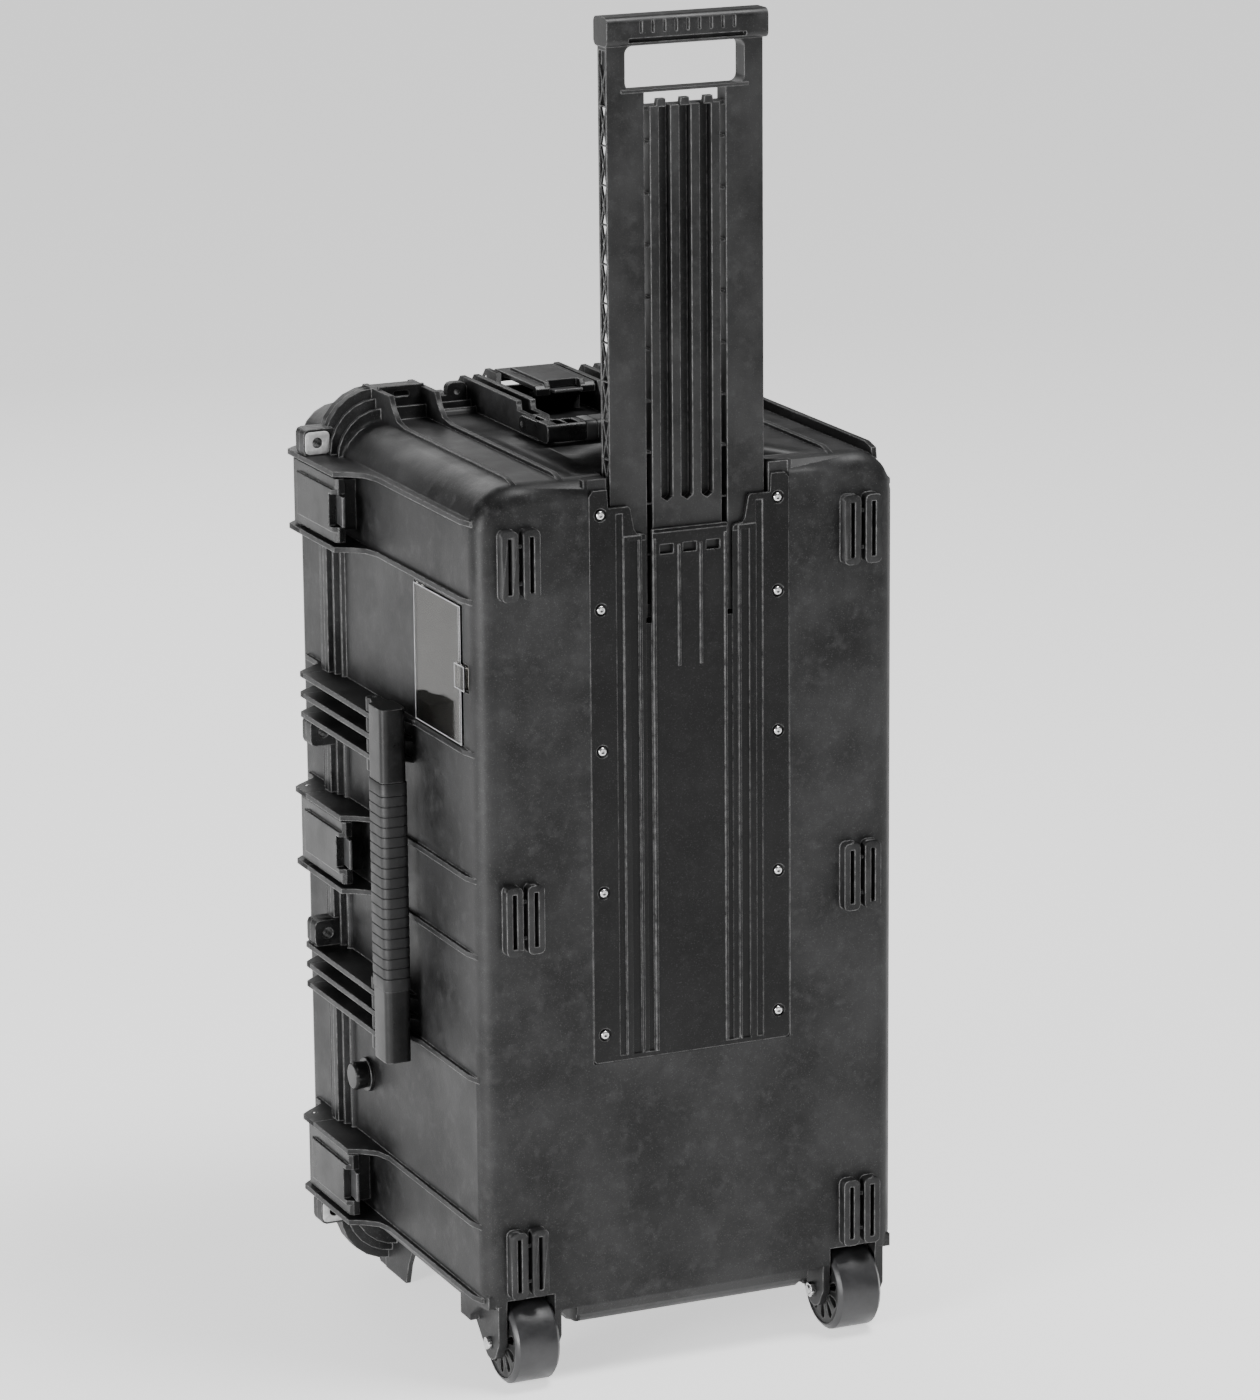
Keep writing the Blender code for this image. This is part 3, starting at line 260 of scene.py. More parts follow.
def worked(piece, tools, way):
    """Cuts tools out of a piece, or welds them on, and uses them up."""
    for tool in tools:
        step = piece.modifiers.new("step", "BOOLEAN")
        step.operation = way
        step.object = tool
        graph = bpy.context.evaluated_depsgraph_get()
        mesh = bpy.data.meshes.new_from_object(piece.evaluated_get(graph))
        piece.modifiers.clear()
        piece.data = mesh
        bpy.data.objects.remove(tool)
    return piece


def in_place(piece):
    """Takes a work piece's mesh, moved from the case's own middle to the frame."""
    mesh = piece.data
    bpy.data.objects.remove(piece)
    mesh.transform(Matrix.Translation(CASE_MIDDLE))
    return softened(mesh, 0.0)


case_resin = moulded_plastic("case resin", RESIN_DARK, RESIN_LIGHT, 0.47, 0.22, 0.30)
for shell in ("base_shell", "lid_shell"):
    finished_node(shell, 0.0, case_resin)

END_RIBS = ((-0.1650, -0.1195), (0.1455, 0.1900))     # X of the pairs of tower fins on the top end
PLATE_Y, PLATE_Z = (0.3325, 0.3362), (0.8410, 0.8720)
OVAL_Z, OVAL_HALF, OVAL_CORNER, OVAL_Y = 0.8640, (0.0080, 0.0028), 0.0027, (0.32, 0.3345)


def build_tower_plates():
    """The little walls between the tower fins of the top end, each with an oval recess."""
    plates = None
    for near, far in END_RIBS:
        middle, half = (near + far) / 2, (far - near) / 2
        plate = brick((middle - half, middle + half), PLATE_Y, PLATE_Z)
        oval = bar("Y", soft_corners(middle, OVAL_Z, *OVAL_HALF, OVAL_CORNER), *OVAL_Y)
        worked(plate, [oval], "DIFFERENCE")
        plates = plate if plates is None else worked(plates, [plate], "UNION")
    return in_place(plates)


plain_piece("tower_plates", build_tower_plates(), "case", case_resin)

# ---- Lid seal -----------------------------------------------------------------------
# A ring of soft rubber pressed into the groove of the lid, closing the case against dust
# and water. Only a thin line of it can ever be seen, when the lid is open.


def rubber(name, colour, gloss):
    """Matt rubber with a fine dusty grain."""
    material = bpy.data.materials.new(name)
    material.use_nodes = True
    tree = material.node_tree
    shader = tree.nodes["Principled BSDF"]
    coords = tree.nodes.new("ShaderNodeTexCoord").outputs["Object"]
    dust = spread(tree, noise(tree, coords, 45.0, 5.0, 0.65), 0.35, 0.75)
    link(tree, mix_colour(tree, dust, colour, tuple(c * 1.9 for c in colour)),
         shader.inputs["Base Color"])
    worn = noise(tree, coords, 90.0, 3.0, 0.6)
    link(tree, spread(tree, worn, 0.3, 0.7, gloss - 0.07, gloss + 0.07), shader.inputs["Roughness"])
    link(tree, bump(tree, noise(tree, coords, 700.0, 2.0, 0.5), 0.25, 0.0003), shader.inputs["Normal"])
    return material


seal_rubber = rubber("seal rubber", (0.010, 0.010, 0.010), 0.72)
finished_node("lid_gasket", 0.0005, seal_rubber)

# ---- Trolley cover ------------------------------------------------------------------
# A smoother black plate screwed over the channel of the trolley handle. Its tongue flexes
# to lock the handle, and long ribs stiffen it.
trolley_resin = moulded_plastic("trolley resin", (0.0015, 0.0015, 0.0016), (0.0080, 0.0080, 0.0082),
                                0.36, 0.14, 0.24, 0.45, 0.20)
COVER_LOW, SLIT_LOW, SLIT_HIGH = 0.3045, 0.7050, 0.7900
SLIT, SLIT_DEPTH = (0.0368, 0.0428), 0.0024           # beside the tongue; how deep below its open part
BANDS = ((0.0428, 0.0475), (0.0500, 0.0592), (0.0652, 0.0720))      # sunk between the long ridges
BAND_DEPTH, BAND_HIGH = (0.0009, 0.0014, 0.0012), (0.7820, 0.7830, 0.8080)
PROUD, RIM, CUT_FROM = 0.0015, 0.0028, -0.01          # the tongue's rim; a cut starts before the face
TONGUE_EDGE = 0.0364
COUNTERBORE, BORE_DEPTH = 0.0060, 0.0022
SCREW_X = 0.0870
SCREW_Z = (0.8085, 0.7222, 0.5919, 0.4600, 0.3262)


def build_trolley_cover():
    """The plate with sunk bands between its long ridges, open slits and a rim round the tongue."""
    mesh = merged_copy("trolley_cover")
    mesh.transform(Matrix.Translation(-CASE_MIDDLE))
    cover = loose(mesh)
    cuts = []
    for side in (-1, 1):
        across = sorted((side * SLIT[0], side * SLIT[1]))
        cuts.append(brick(across, (CUT_FROM, 0.02), (SLIT_LOW, SLIT_HIGH + 0.01)))
        cuts.append(brick(across, (CUT_FROM, SLIT_DEPTH), (COVER_LOW, SLIT_LOW + 0.001)))
        for (near, far), depth, high in zip(BANDS, BAND_DEPTH, BAND_HIGH):
            cuts.append(brick(sorted((side * near, side * far)), (CUT_FROM, depth), (COVER_LOW, high)))
    for side in (-1, 1):
        for z in SCREW_Z:
            bore = soft_corners(side * SCREW_X, z, COUNTERBORE, COUNTERBORE, COUNTERBORE)
            cuts.append(bar("Y", bore, CUT_FROM, BORE_DEPTH))
    worked(cover, cuts, "DIFFERENCE")
    rim = [brick((-TONGUE_EDGE, TONGUE_EDGE), (-PROUD, 0.001), (SLIT_HIGH - RIM, SLIT_HIGH))]
    worked(cover, rim, "UNION")
    return in_place(cover)


plain_piece("trolley_cover_moulding", build_trolley_cover(), "case", trolley_resin,
            ("trolley_cover",))

# ---- Cover screws -------------------------------------------------------------------
# Ten bright plated button-head screws with hexagon sockets, five down each side. Each is
# sunk in a round counterbore and screwed into the shell, which holds the cover on.
SCREW_SIDES = 24
HEAD_OUTLINE = ((0.0018, 0.0040), (0.0006, 0.0041), (-0.0002, 0.0038), (-0.0008, 0.0031), (-0.0010, 0.0025))
SOCKET_Y, SOCKET_HALF = (-0.0010, 0.0014), 0.00190    # from its mouth to its floor; half across flats


def copies_tree():
    """A geometry tree that puts a copy of a unit piece on every point."""
    tree = bpy.data.node_groups.new("copies on points", "GeometryNodeTree")
    for label, kind in (("Points", "NodeSocketGeometry"), ("Unit", "NodeSocketObject"),
                        ("Finish", "NodeSocketMaterial")):
        tree.interface.new_socket(label, in_out="INPUT", socket_type=kind)
    tree.interface.new_socket("Copies", in_out="OUTPUT", socket_type="NodeSocketGeometry")
    entry, leave = tree.nodes.new("NodeGroupInput"), tree.nodes.new("NodeGroupOutput")
    unit, place = tree.nodes.new("GeometryNodeObjectInfo"), tree.nodes.new("GeometryNodeInstanceOnPoints")
    real, coat = tree.nodes.new("GeometryNodeRealizeInstances"), tree.nodes.new("GeometryNodeSetMaterial")
    link(tree, entry.outputs["Points"], place.inputs["Points"])
    link(tree, entry.outputs["Unit"], unit.inputs["Object"])
    link(tree, unit.outputs["Geometry"], place.inputs["Instance"])
    link(tree, place.outputs["Instances"], real.inputs["Geometry"])
    link(tree, real.outputs["Geometry"], coat.inputs["Geometry"])
    link(tree, entry.outputs["Finish"], coat.inputs["Material"])
    link(tree, coat.outputs["Geometry"], leave.inputs["Copies"])
    return tree


COPIES = copies_tree()


def copies(name, unit_mesh, points, material):
    """The mesh of a unit piece repeated at points."""
    holder_mesh = bpy.data.meshes.new(name)
    holder_mesh.from_pydata([tuple(p) for p in points], [], [])
    holder = bpy.data.objects.new(name, holder_mesh)
    unit = bpy.data.objects.new("unit", unit_mesh)
    for made in (holder, unit):
        bpy.context.scene.collection.objects.link(made)
    modifier = holder.modifiers.new("copies", "NODES")
    modifier.node_group = COPIES
    sockets = {item.name: item.identifier for item in COPIES.interface.items_tree
               if item.in_out == "INPUT"}
    modifier[sockets["Unit"]] = unit
    modifier[sockets["Finish"]] = material
    graph = bpy.context.evaluated_depsgraph_get()
    mesh = bpy.data.meshes.new_from_object(holder.evaluated_get(graph))
    holder.modifiers.clear()
    bpy.data.objects.remove(holder)
    bpy.data.objects.remove(unit)
    return mesh


def steel(name, colour, gloss, metal=1.0):
    """Bright plated steel with faint brushed streaks."""
    material = bpy.data.materials.new(name)
    material.use_nodes = True
    tree = material.node_tree
    shader = tree.nodes["Principled BSDF"]
    shader.inputs["Metallic"].default_value = metal
    coords = tree.nodes.new("ShaderNodeTexCoord").outputs["Object"]
    tone = spread(tree, noise(tree, coords, 240.0, 4.0, 0.6), 0.35, 0.7)
    link(tree, mix_colour(tree, tone, tuple(c * 0.72 for c in colour), colour),
         shader.inputs["Base Color"])
    streaks = noise(tree, coords, 1600.0, 2.0, 0.5)
    link(tree, spread(tree, streaks, 0.3, 0.7, gloss - 0.05, gloss + 0.10), shader.inputs["Roughness"])
    link(tree, bump(tree, streaks, 0.10, 0.0001), shader.inputs["Normal"])
    return material


def screw_unit():
    """A button head with a hexagon socket, looking along -Y."""
    rings = []
    for y, radius in HEAD_OUTLINE:
        rings.append([(radius * math.cos(a), y, radius * math.sin(a)) for a in
                      (2 * math.pi * k / SCREW_SIDES for k in range(SCREW_SIDES))])
    for y in SOCKET_Y:
        ring = []
        for k in range(SCREW_SIDES):
            a = 2 * math.pi * k / SCREW_SIDES
            sector = (a + math.pi / 6) % (math.pi / 3) - math.pi / 6
            radius = SOCKET_HALF / math.cos(sector)
            ring.append((radius * math.cos(a), y, radius * math.sin(a)))
        rings.append(ring)
    mesh = ring_mesh("screw", rings)
    mesh.shade_smooth()
    mesh.set_sharp_from_angle(angle=math.radians(40))
    return mesh


bright_steel = steel("bright steel", (0.78, 0.78, 0.78), 0.20)
for side, word in ((-1, "left"), (1, "right")):
    spots = [CASE_MIDDLE + Vector((side * SCREW_X, 0.0, z)) for z in SCREW_Z]
    heads = copies(f"cover_screws_{word}", screw_unit(), spots, bright_steel)
    plain_piece(f"cover_screws_{word}", heads, "case", bright_steel,
                [f"panel_screw_{word}_{n}" for n in range(1, 6)])

# ---- Trolley handle -----------------------------------------------------------------
# One long black moulding: two hollow-backed legs with braced sides, a ribbed plate between
# them that hangs on rows of small rungs, and a bow across the top with a notched grip.
# It slides in the channel behind the cover.
LEG_X = 0.0755
HANDLE_FRONT, HANDLE_BACK = 0.0050, 0.0230
HANDLE_LOW, PLATE_HIGH, HANDLE_HIGH = 0.7090, 1.1685, 1.2490
THROUGH = (-0.05, 0.08)                   # right through the handle, front to back
PAST, JUST_PAST = 0.01, 0.001             # how far a cut or a weld runs past the face that it starts on
SLAB_END = 0.012                          # the slab ends inside the bow
BOW_X, BOW_Y, BOW_HALF, BOW_CORNER = 0.0778, 0.0120, (0.0145, 0.0130), 0.0060
HAND_HOLE, HAND_CORNER = (0.0575, 1.2030, 0.0195), 0.0070      # half width, middle height, half height
GAP_HIGH = 0.0125                         # the gap over the ribbed plate
PLATE_X, SLOT_X = 0.0338, 0.0395
RUNG_PITCH, RUNG, RUNG_BACK = 0.0463, 0.0016, 0.0030           # rungs stand back from the front
RUNG_START, RUNG_END, LEAST_GAP = 0.012, 0.0035, 0.010
CORE_X, CORE_HALF, CORE_DEPTH, CORE_LOW = 0.0576, 0.0150, 0.0100, 0.0100
GROOVE_X, GROOVE_HALF, GROOVE_LOW, GROOVE_POINT, GROOVE_DEPTH = 0.0197, 0.0056, 0.8140, 0.0040, 0.0095
BRACE_PITCH, BRACE_DEPTH, BRACE_THICK, BRACE_HALF = 0.0350, 0.0030, 0.0011, 0.0012
BRACE_EDGE, BRACE_LOW, BRACE_HIGH, BRACE_FIRST, BRACE_IN = 0.0022, 0.0060, 0.0300, 0.0065, 0.0017
GRIP_NOTCHES, NOTCH_PITCH, NOTCH_HALF, NOTCH_DEPTH = 9, 0.0112, 0.0011, 0.0012
NOTCH_Z, RECESS_Z = (-0.0145, -0.0040), (-0.0228, -0.0192)     # down from the top of the bow
RECESS_X, RECESS_DEPTH = 0.0565, 0.0060
TAB_X = (-0.0228, 0.0, 0.0228)            # three little tapered tabs hold the plate to the bow
TAB_LOW_HALF, TAB_HIGH_HALF, TAB_HIGH, TAB_THICK = 0.0048, 0.0038, 0.0062, 0.0060
LIP_HALF, LIP_CORNER, LIP_OVER = (0.0026, 0.0016), 0.0014, 0.0040
LIP_IN, LIP_BELOW = 0.0018, 0.0008        # its middle, from the front and from the edge of the hand hole


def build_trolley_handle():
    """The whole handle, cut and welded from a tall slab and the rounded bow."""
    front, back = HANDLE_FRONT, HANDLE_BACK
    handle = brick((-LEG_X, LEG_X), (front, back), (HANDLE_LOW, HANDLE_HIGH - SLAB_END))
    bow = soft_corners(BOW_Y, HANDLE_HIGH - BOW_HALF[1], *BOW_HALF, BOW_CORNER)
    worked(handle, [bar("X", bow, -BOW_X, BOW_X)], "UNION")
    half, middle, tall = HAND_HOLE
    cuts = [bar("Y", soft_corners(0.0, middle, half, tall, HAND_CORNER), *THROUGH),
            brick((-SLOT_X, SLOT_X), THROUGH, (PLATE_HIGH, PLATE_HIGH + GAP_HIGH))]
    for side in (-1, 1):
        low = HANDLE_LOW + RUNG_START
        across = sorted((side * PLATE_X, side * SLOT_X))
        while low < PLATE_HIGH - LEAST_GAP:
            high = min(low + RUNG_PITCH - RUNG, PLATE_HIGH - RUNG_END)
            cuts.append(brick(across, THROUGH, (low, high)))
            low += RUNG_PITCH
        cuts.append(brick(across, (THROUGH[0], front + RUNG_BACK), (HANDLE_LOW, PLATE_HIGH)))
        cuts.append(brick((side * CORE_X - CORE_HALF, side * CORE_X + CORE_HALF),
                          (back - CORE_DEPTH, THROUGH[1]), (HANDLE_LOW + CORE_LOW, PLATE_HIGH)))
        channel = sorted((side * (LEG_X - BRACE_DEPTH), side * (LEG_X + PAST)))
        cuts.append(brick(channel, (front + BRACE_EDGE, back - BRACE_EDGE),
                          (HANDLE_LOW + BRACE_LOW, HANDLE_HIGH - BRACE_HIGH)))
    for x in (-GROOVE_X, 0.0, GROOVE_X):
        left, right = x - GROOVE_HALF, x + GROOVE_HALF
        shoulder, high = GROOVE_LOW + GROOVE_POINT, PLATE_HIGH + JUST_PAST
        outline = [(left, high), (left, shoulder), (x, GROOVE_LOW), (right, shoulder), (right, high)]
        cuts.append(bar("Y", outline, THROUGH[0], front + GROOVE_DEPTH))
    bow_front = BOW_Y - BOW_HALF[0]
    for k in range(GRIP_NOTCHES):
        x = (k - (GRIP_NOTCHES - 1) / 2) * NOTCH_PITCH
        cuts.append(brick((x - NOTCH_HALF, x + NOTCH_HALF), (THROUGH[0], bow_front + NOTCH_DEPTH),
                          (HANDLE_HIGH + NOTCH_Z[0], HANDLE_HIGH + NOTCH_Z[1])))
    cuts.append(brick((-RECESS_X, RECESS_X), (THROUGH[0], bow_front + RECESS_DEPTH),
                      (HANDLE_HIGH + RECESS_Z[0], HANDLE_HIGH + RECESS_Z[1])))
    worked(handle, cuts, "DIFFERENCE")
    added = []
    for x in TAB_X:
        low, high = PLATE_HIGH - JUST_PAST, PLATE_HIGH + TAB_HIGH
        outline = [(x - TAB_LOW_HALF, low), (x + TAB_LOW_HALF, low), (x + TAB_HIGH_HALF, high),
                   (x - TAB_HIGH_HALF, high)]
        added.append(bar("Y", outline, front, front + TAB_THICK))
    lip = soft_corners(front + LIP_IN, middle - tall - LIP_BELOW, *LIP_HALF, LIP_CORNER, 3)
    added.append(bar("X", lip, -half - LIP_OVER, half + LIP_OVER))
    worked(handle, added, "UNION")
    return in_place(handle)


def brace_unit():
    """One bay of the bracing in a leg's side: a rung and two crossing bars."""
    low, high = HANDLE_FRONT + BRACE_EDGE, HANDLE_BACK - BRACE_EDGE
    thick, half = BRACE_THICK / 2, BRACE_PITCH / 2
    runs = (((low, -half), (high, -half)), ((low, -half), (high, half)), ((low, half), (high, -half)))
    bm = bmesh.new()
    for (y0, z0), (y1, z1) in runs:
        run = Vector((y1 - y0, z1 - z0)).normalized() * thick
        corners = [(y0 + run.y, z0 - run.x), (y1 + run.y, z1 - run.x), (y1 - run.y, z1 + run.x),
                   (y0 - run.y, z0 + run.x)]
        rows = [[bm.verts.new((x, y, z)) for y, z in corners] for x in (-BRACE_HALF, BRACE_HALF)]
        bm.faces.new(rows[0])
        bm.faces.new(rows[1])
        for i in range(4):
            j = (i + 1) % 4
            bm.faces.new((rows[0][i], rows[0][j], rows[1][j], rows[1][i]))
    bmesh.ops.recalc_face_normals(bm, faces=bm.faces)
    mesh = bpy.data.meshes.new("brace")
    bm.to_mesh(mesh)
    bm.free()
    return mesh


handle_resin = moulded_plastic("handle resin", (0.0045, 0.0045, 0.0047), (0.0240, 0.0240, 0.0243),
                               0.42, 0.18, 0.26, edge=0.50, sheen=0.31)
plain_piece("trolley_handle_moulding", build_trolley_handle(), "trolley_handle",
            handle_resin, ("trolley_handle",))
bays = int((HANDLE_HIGH - BRACE_HIGH - HANDLE_LOW - BRACE_LOW) / BRACE_PITCH)
first_bay = HANDLE_LOW + BRACE_FIRST + BRACE_PITCH / 2
spots = [CASE_MIDDLE + Vector((side * (LEG_X - BRACE_IN), 0.0, first_bay + k * BRACE_PITCH))
         for side in (-1, 1) for k in range(bays)]
plain_piece("trolley_handle_braces", copies("trolley_handle_braces", brace_unit(), spots, handle_resin),
            "trolley_handle", handle_resin)

# ---- Wheels -------------------------------------------------------------------------
# Moulded hubs with petal openings carry hard, dark satin treads. Each wheel turns on a
# steel bolt through two ears of the shell.
tread = rubber("wheel tread", (0.020, 0.020, 0.021), 0.38)
hub_resin = moulded_plastic("hub resin", (0.005, 0.005, 0.005), (0.014, 0.014, 0.014), 0.42, 0.12, 0.25)
for word in ("left", "right"):
    finished_node(f"wheel_tread_{word}", 0.0008, tread)
    finished_node(f"wheel_hub_{word}", 0.0005, hub_resin)
    finished_node(f"axle_bolt_{word}", 0.0006, bright_steel)
    finished_node(f"axle_nut_{word}", 0.0005, bright_steel)

# ---- Latches ------------------------------------------------------------------------
# Five black resin latches, three on the side and one on each end, swing on steel pins held
# between the fins of the lid. Each has a lighter sprung trigger that frees it from the rim.
latch_resin = moulded_plastic("latch resin", (0.0020, 0.0020, 0.0021), (0.0120, 0.0120, 0.0122),
                              0.32, 0.08, 0.16, edge=0.50, sheen=0.32)
trigger_resin = moulded_plastic("trigger resin", (0.035, 0.035, 0.036), (0.060, 0.060, 0.061), 0.38,
                                0.08, 0.16)
for word in ("upper", "middle", "lower", "top", "bottom"):
    finished_node(f"latch_arm_{word}", 0.0, latch_resin)
    finished_node(f"latch_trigger_{word}", 0.0, trigger_resin)
    finished_node(f"latch_pin_{word}", 0.0003, bright_steel)

# ---- Hinge pins ---------------------------------------------------------------------
# Three plain steel pins on the far side. Each runs through the knuckles of base and lid
# between a pair of tower fins, and the lid swings on them.
for word in ("upper", "middle", "lower"):
    finished_node(f"hinge_pin_{word}", 0.0004, bright_steel)

# ---- Carry handles ------------------------------------------------------------------
# Both handles are stiff black frames with a soft grip moulded round the bar. The big grip has
# a row of rounded rings, with a plain collar at each end; the small one has two collars.
grip_rubber = rubber("grip rubber", (0.0075, 0.0075, 0.0078), 0.50)
RING_PITCH, RING_DEPTH = 0.0096, 0.0008
GRIP_WALL = 0.0028
COLLAR_ROUND, COLLAR_IN = 0.0006, 0.0004
RING_RISE, RING_SIDE, RING_IN = (0.0005, 0.0001), (0.0010, 0.0006), 0.0001     # at a ring's two ends
SIDE_GRIP_CORNER, SIDE_COLLAR = 0.0070, 0.0120
END_GRIP_CORNER, END_COLLAR, END_RING_PITCH = 0.0055, 0.0100, 0.0300
finished_node("side_handle_frame", 0.0, latch_resin)
finished_node("end_handle_frame", 0.0, latch_resin)


def ringed_grip(node, axis, corner, wall, stops):
    """A tube round a bar. stops are (place along the bar, inset) pairs from one end to the other."""
    low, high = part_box(node)
    across = [k for k in range(3) if k != axis]
    middle = [(low[k] + high[k]) / 2 for k in across]
    half = [(high[k] - low[k]) / 2 for k in across]

    def ring(along, inset, radius):
        points = []
        for a, b in soft_corners(*middle, half[0] - inset, half[1] - inset, radius - inset * 0.6):
            point = [0.0, 0.0, 0.0]
            point[axis], point[across[0]], point[across[1]] = along, a, b
            points.append(tuple(point))
        return points

    rings = [ring(stops[0][0], wall, corner)]
    rings += [ring(along, inset, corner) for along, inset in stops]
    rings.append(ring(stops[-1][0], wall, corner))
    mesh = ring_mesh(node, rings + [rings[0]], closed_ends=False)
    bm = bmesh.new()
    bm.from_mesh(mesh)
    bmesh.ops.remove_doubles(bm, verts=bm.verts, dist=JOINED_WITHIN)
    bmesh.ops.recalc_face_normals(bm, faces=bm.faces)
    bm.to_mesh(mesh)
    bm.free()
    mesh.shade_smooth()
    mesh.set_sharp_from_angle(angle=math.radians(50))
    return mesh


def grip_stops(low, high, collar, pitch):
    """Collars at the ends and rounded rings between them."""
    stops = [(low, COLLAR_IN), (low + COLLAR_ROUND, 0.0), (low + collar - COLLAR_ROUND, 0.0),
             (low + collar, RING_DEPTH)]
    rings = max(1, round((high - low - 2 * collar) / pitch))
    step = (high - low - 2 * collar) / rings
    for k in range(rings):
        start = low + collar + k * step
        stops += [(start + RING_RISE[0], RING_DEPTH), (start + RING_SIDE[0], RING_IN),
                  (start + step / 2, 0.0),
                  (start + step - RING_SIDE[1], RING_IN), (start + step - RING_RISE[1], RING_DEPTH)]
    stops += [(high - collar + 0.0001, RING_DEPTH), (high - collar + COLLAR_ROUND, 0.0),
              (high - COLLAR_ROUND, 0.0), (high, COLLAR_IN)]
    return stops


low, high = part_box("side_handle_grip")
plain_piece("side_handle_ringed_grip",
            ringed_grip("side_handle_grip", 2, SIDE_GRIP_CORNER, GRIP_WALL,
                        grip_stops(low[2], high[2], SIDE_COLLAR, RING_PITCH)),
            "side_handle", grip_rubber, ("side_handle_grip",))
low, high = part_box("end_handle_grip")
plain_piece("end_handle_ringed_grip",
            ringed_grip("end_handle_grip", 0, END_GRIP_CORNER, GRIP_WALL,
                        grip_stops(low[0], high[0], END_COLLAR, END_RING_PITCH)),
            "end_handle", grip_rubber, ("end_handle_grip",))
for word in ("side_handle_pin_upper", "side_handle_pin_lower", "end_handle_pin_left",
             "end_handle_pin_right"):
    finished_node(word, 0.0003, bright_steel)

# ---- Valve --------------------------------------------------------------------------
# A round black pressure valve through the wall under the carry handle: a flanged body
# screwed into the shell, and a lobed knob that turns on it.
finished_node("valve_body", 0.0, latch_resin)
finished_node("valve_knob", 0.0, latch_resin)

# ---- Padlock plates -----------------------------------------------------------------
# Small plated steel plates with a round hole, pressed on the outer drilled tabs of the base
# and the lid so that a padlock cannot tear the resin.
plate_steel = steel("plated steel", (0.62, 0.62, 0.62), 0.42, 0.35)
for shell in ("base", "lid"):
    for word in ("upper", "lower"):
        finished_node(f"padlock_plate_{shell}_{word}", 0.0004, plate_steel)

# ---- Label window -------------------------------------------------------------------
# A clear plastic flap over a shallow bed for a name card, hinged along its far edge, with a
# clear clip that snaps it shut. Its cut edges have a polish and catch the light, which is
# drawn as a painted highlight: thin light grey bars along them.
WINDOW_EDGE, WINDOW_PROUD = 0.0009, 0.0001    # width of the bright edge, and how far it stands out
CLIP_LINE, CLIP_LINE_WIDE = 0.0040, 0.0006    # the moulded line beside the clip edge of the flap


def clear_plastic(name):
    """Smoky clear sheet with a light haze."""
    material = bpy.data.materials.new(name)
    material.use_nodes = True
    tree = material.node_tree
    shader = tree.nodes["Principled BSDF"]
    shader.inputs["IOR"].default_value = 1.20
    shader.inputs["Transmission Weight"].default_value = 1.0
    coords = tree.nodes.new("ShaderNodeTexCoord").outputs["Object"]
    haze = noise(tree, coords, 60.0, 4.0, 0.6)
    link(tree, spread(tree, haze, 0.35, 0.75, 0.02, 0.10), shader.inputs["Roughness"])
    link(tree, mix_colour(tree, haze, (0.66, 0.65, 0.62), (0.56, 0.55, 0.53)),
         shader.inputs["Base Color"])
    return material


def window_edges():
    """Thin bright bars round the flap and the clip, where the sheet ends, and one beside the clip: a
    painted highlight for the light these edges catch.
    """
    flap_low, flap_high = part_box("label_window")
    clip_low, clip_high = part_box("label_window_clip")
    bars = []

    def frame_bars(low, high, wide):
        x = (low[0] - WINDOW_PROUD, low[0] + WINDOW_EDGE)
        for z in ((low[2], low[2] + wide), (high[2] - wide, high[2])):
            bars.append(brick(x, (low[1], high[1]), z))
        for y in ((low[1], low[1] + wide), (high[1] - wide, high[1])):
            bars.append(brick(x, y, (low[2] + wide, high[2] - wide)))

    frame_bars(flap_low, flap_high, WINDOW_EDGE)
    frame_bars(clip_low, clip_high, WINDOW_EDGE)
    inner = flap_low[1] + CLIP_LINE
    bars.append(brick((flap_low[0] - WINDOW_PROUD, flap_low[0] + WINDOW_EDGE),
                      (inner, inner + CLIP_LINE_WIDE),
                      (flap_low[2] + 0.001, flap_high[2] - 0.001)))
    joined = bars[0]
    worked(joined, bars[1:], "UNION")
    mesh = joined.data
    bpy.data.objects.remove(joined)
    return softened(mesh, 0.0)


clear = clear_plastic("clear plastic")
finished_node("label_window", 0.0, clear)
finished_node("label_window_clip", 0.0, clear)
# Light grey bars: a painted highlight standing for the glint on the clear sheet's cut edges.
edge_glint_paint = rubber("painted edge glint", (0.30, 0.30, 0.31), 0.22)
plain_piece("window_edges", window_edges(), "window", edge_glint_paint)

# ---- Studio -------------------------------------------------------------------------
# A pale floor and soft lights all round, with the camera a little above the case.
CAMERA_AT = Vector((-2.0501, -4.4723, 1.8928)) + CASE_MIDDLE
LENS_MM = 145.2
CAMERA_TURN, CAMERA_DIP, CAMERA_ROLL = math.radians(23.99), math.radians(14.39), math.radians(-0.49)

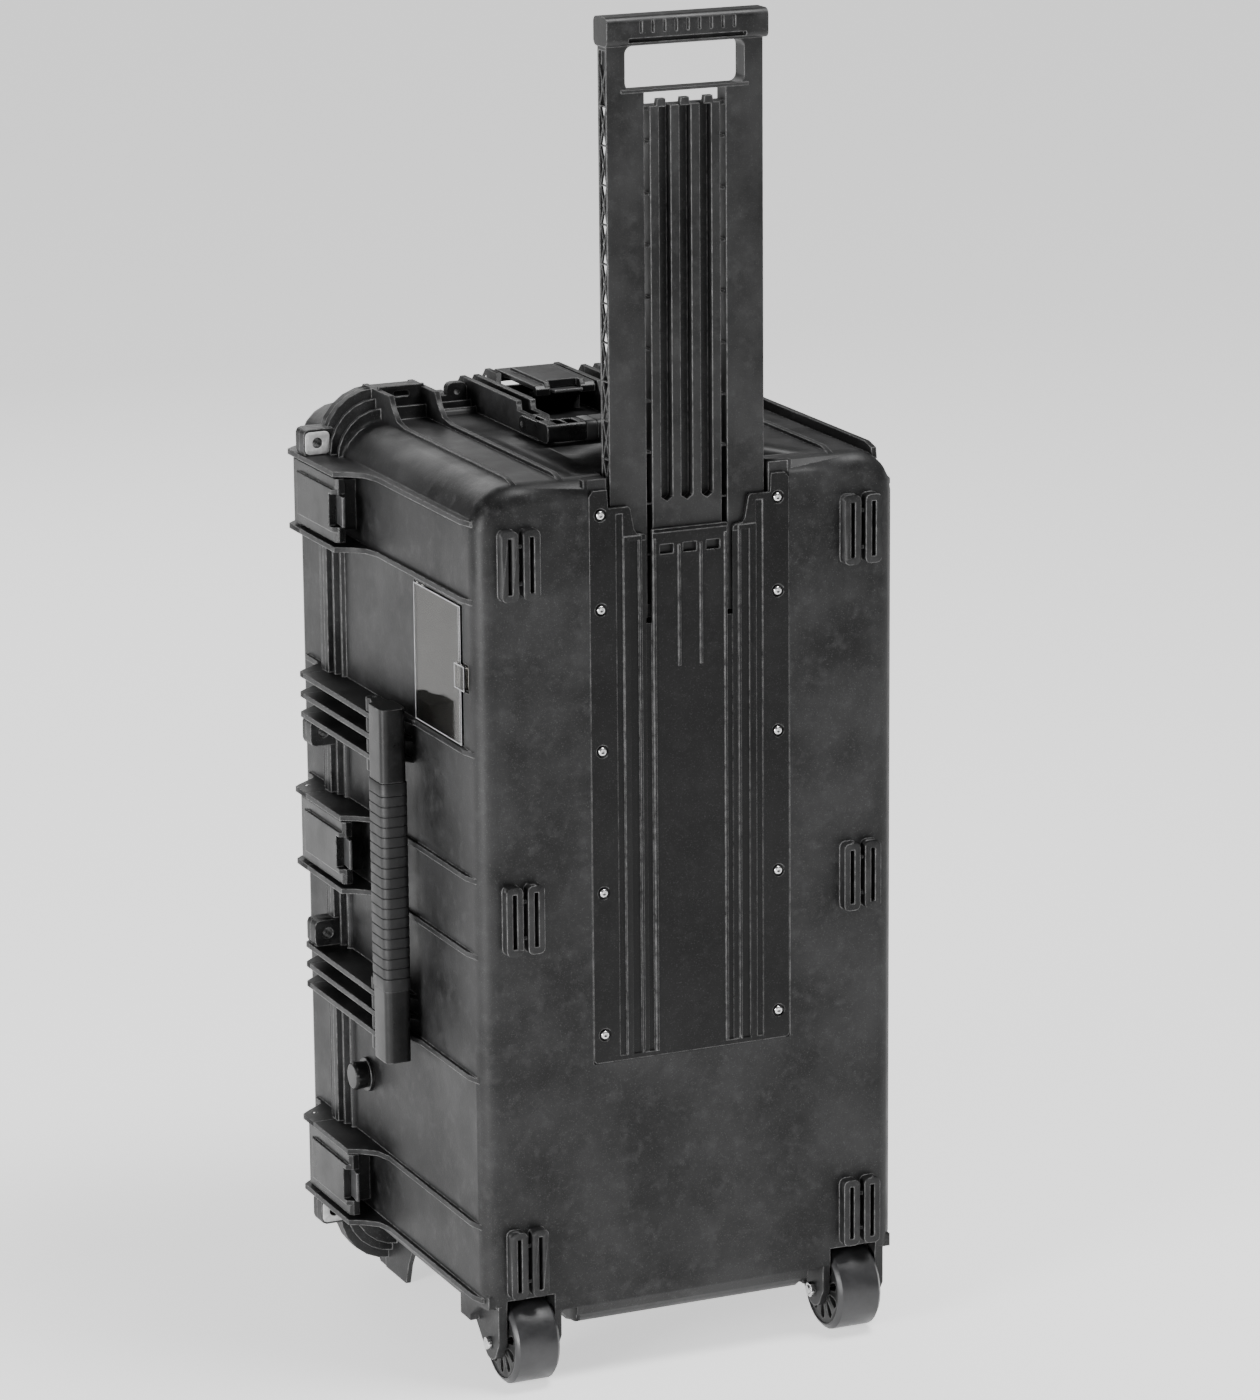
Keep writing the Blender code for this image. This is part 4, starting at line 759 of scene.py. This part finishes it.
floor_mesh = bpy.data.meshes.new("floor")
reach = 60                                # metres, so that the floor has no edge in view
floor_mesh.from_pydata([(-reach, -reach, 0), (reach, -reach, 0), (reach, reach, 0), (-reach, reach, 0)],
                       [], [(0, 1, 2, 3)])
floor = bpy.data.objects.new("floor", floor_mesh)
bpy.context.scene.collection.objects.link(floor)
floor_paint = bpy.data.materials.new("floor paint")
floor_paint.use_nodes = True
floor_shader = floor_paint.node_tree.nodes["Principled BSDF"]
floor_shader.inputs["Base Color"].default_value = (0.86, 0.86, 0.86, 1.0)
floor_shader.inputs["Roughness"].default_value = 0.9
floor_shader.inputs["Emission Color"].default_value = (1.0, 1.0, 1.0, 1.0)
floor_shader.inputs["Emission Strength"].default_value = 1.0
floor_mesh.materials.append(floor_paint)

world = bpy.data.worlds.new("studio")
bpy.context.scene.world = world
world.use_nodes = True
world.node_tree.nodes["Background"].inputs["Color"].default_value = (1.0, 1.0, 1.0, 1.0)
world.node_tree.nodes["Background"].inputs["Strength"].default_value = 0.20


def soft_light(name, at, aim, size, power):
    lamp = bpy.data.lights.new(name, "AREA")
    lamp.size = size
    lamp.energy = power
    light = bpy.data.objects.new(name, lamp)
    light.location = at
    light.rotation_euler = (Vector(aim) - Vector(at)).to_track_quat("-Z", "Y").to_euler()
    bpy.context.scene.collection.objects.link(light)


soft_light("left light", (-3.3, -1.5, 0.85), (0.0, 0.0, 0.4), 1.3, 140)
soft_light("top light", (1.1, -0.8, 3.6), (0.0, 0.0, 0.8), 1.4, 115)
soft_light("back light", (0.2, 3.6, 2.4), (0.0, 0.0, 0.9), 2.2, 42)

lens = bpy.data.cameras.new("camera")
lens.lens = LENS_MM
lens.sensor_width = 36.0
camera = bpy.data.objects.new("camera", lens)
bpy.context.scene.collection.objects.link(camera)
look = Vector((math.sin(CAMERA_TURN) * math.cos(CAMERA_DIP), math.cos(CAMERA_TURN) * math.cos(CAMERA_DIP),
               -math.sin(CAMERA_DIP)))
camera.rotation_mode = "QUATERNION"
roll = Matrix.Rotation(CAMERA_ROLL, 4, "Z").to_quaternion()
camera.rotation_quaternion = look.to_track_quat("-Z", "Y") @ roll
camera.location = CAMERA_AT
lens.clip_start = 0.1
lens.clip_end = 100.0
bpy.context.scene.camera = camera
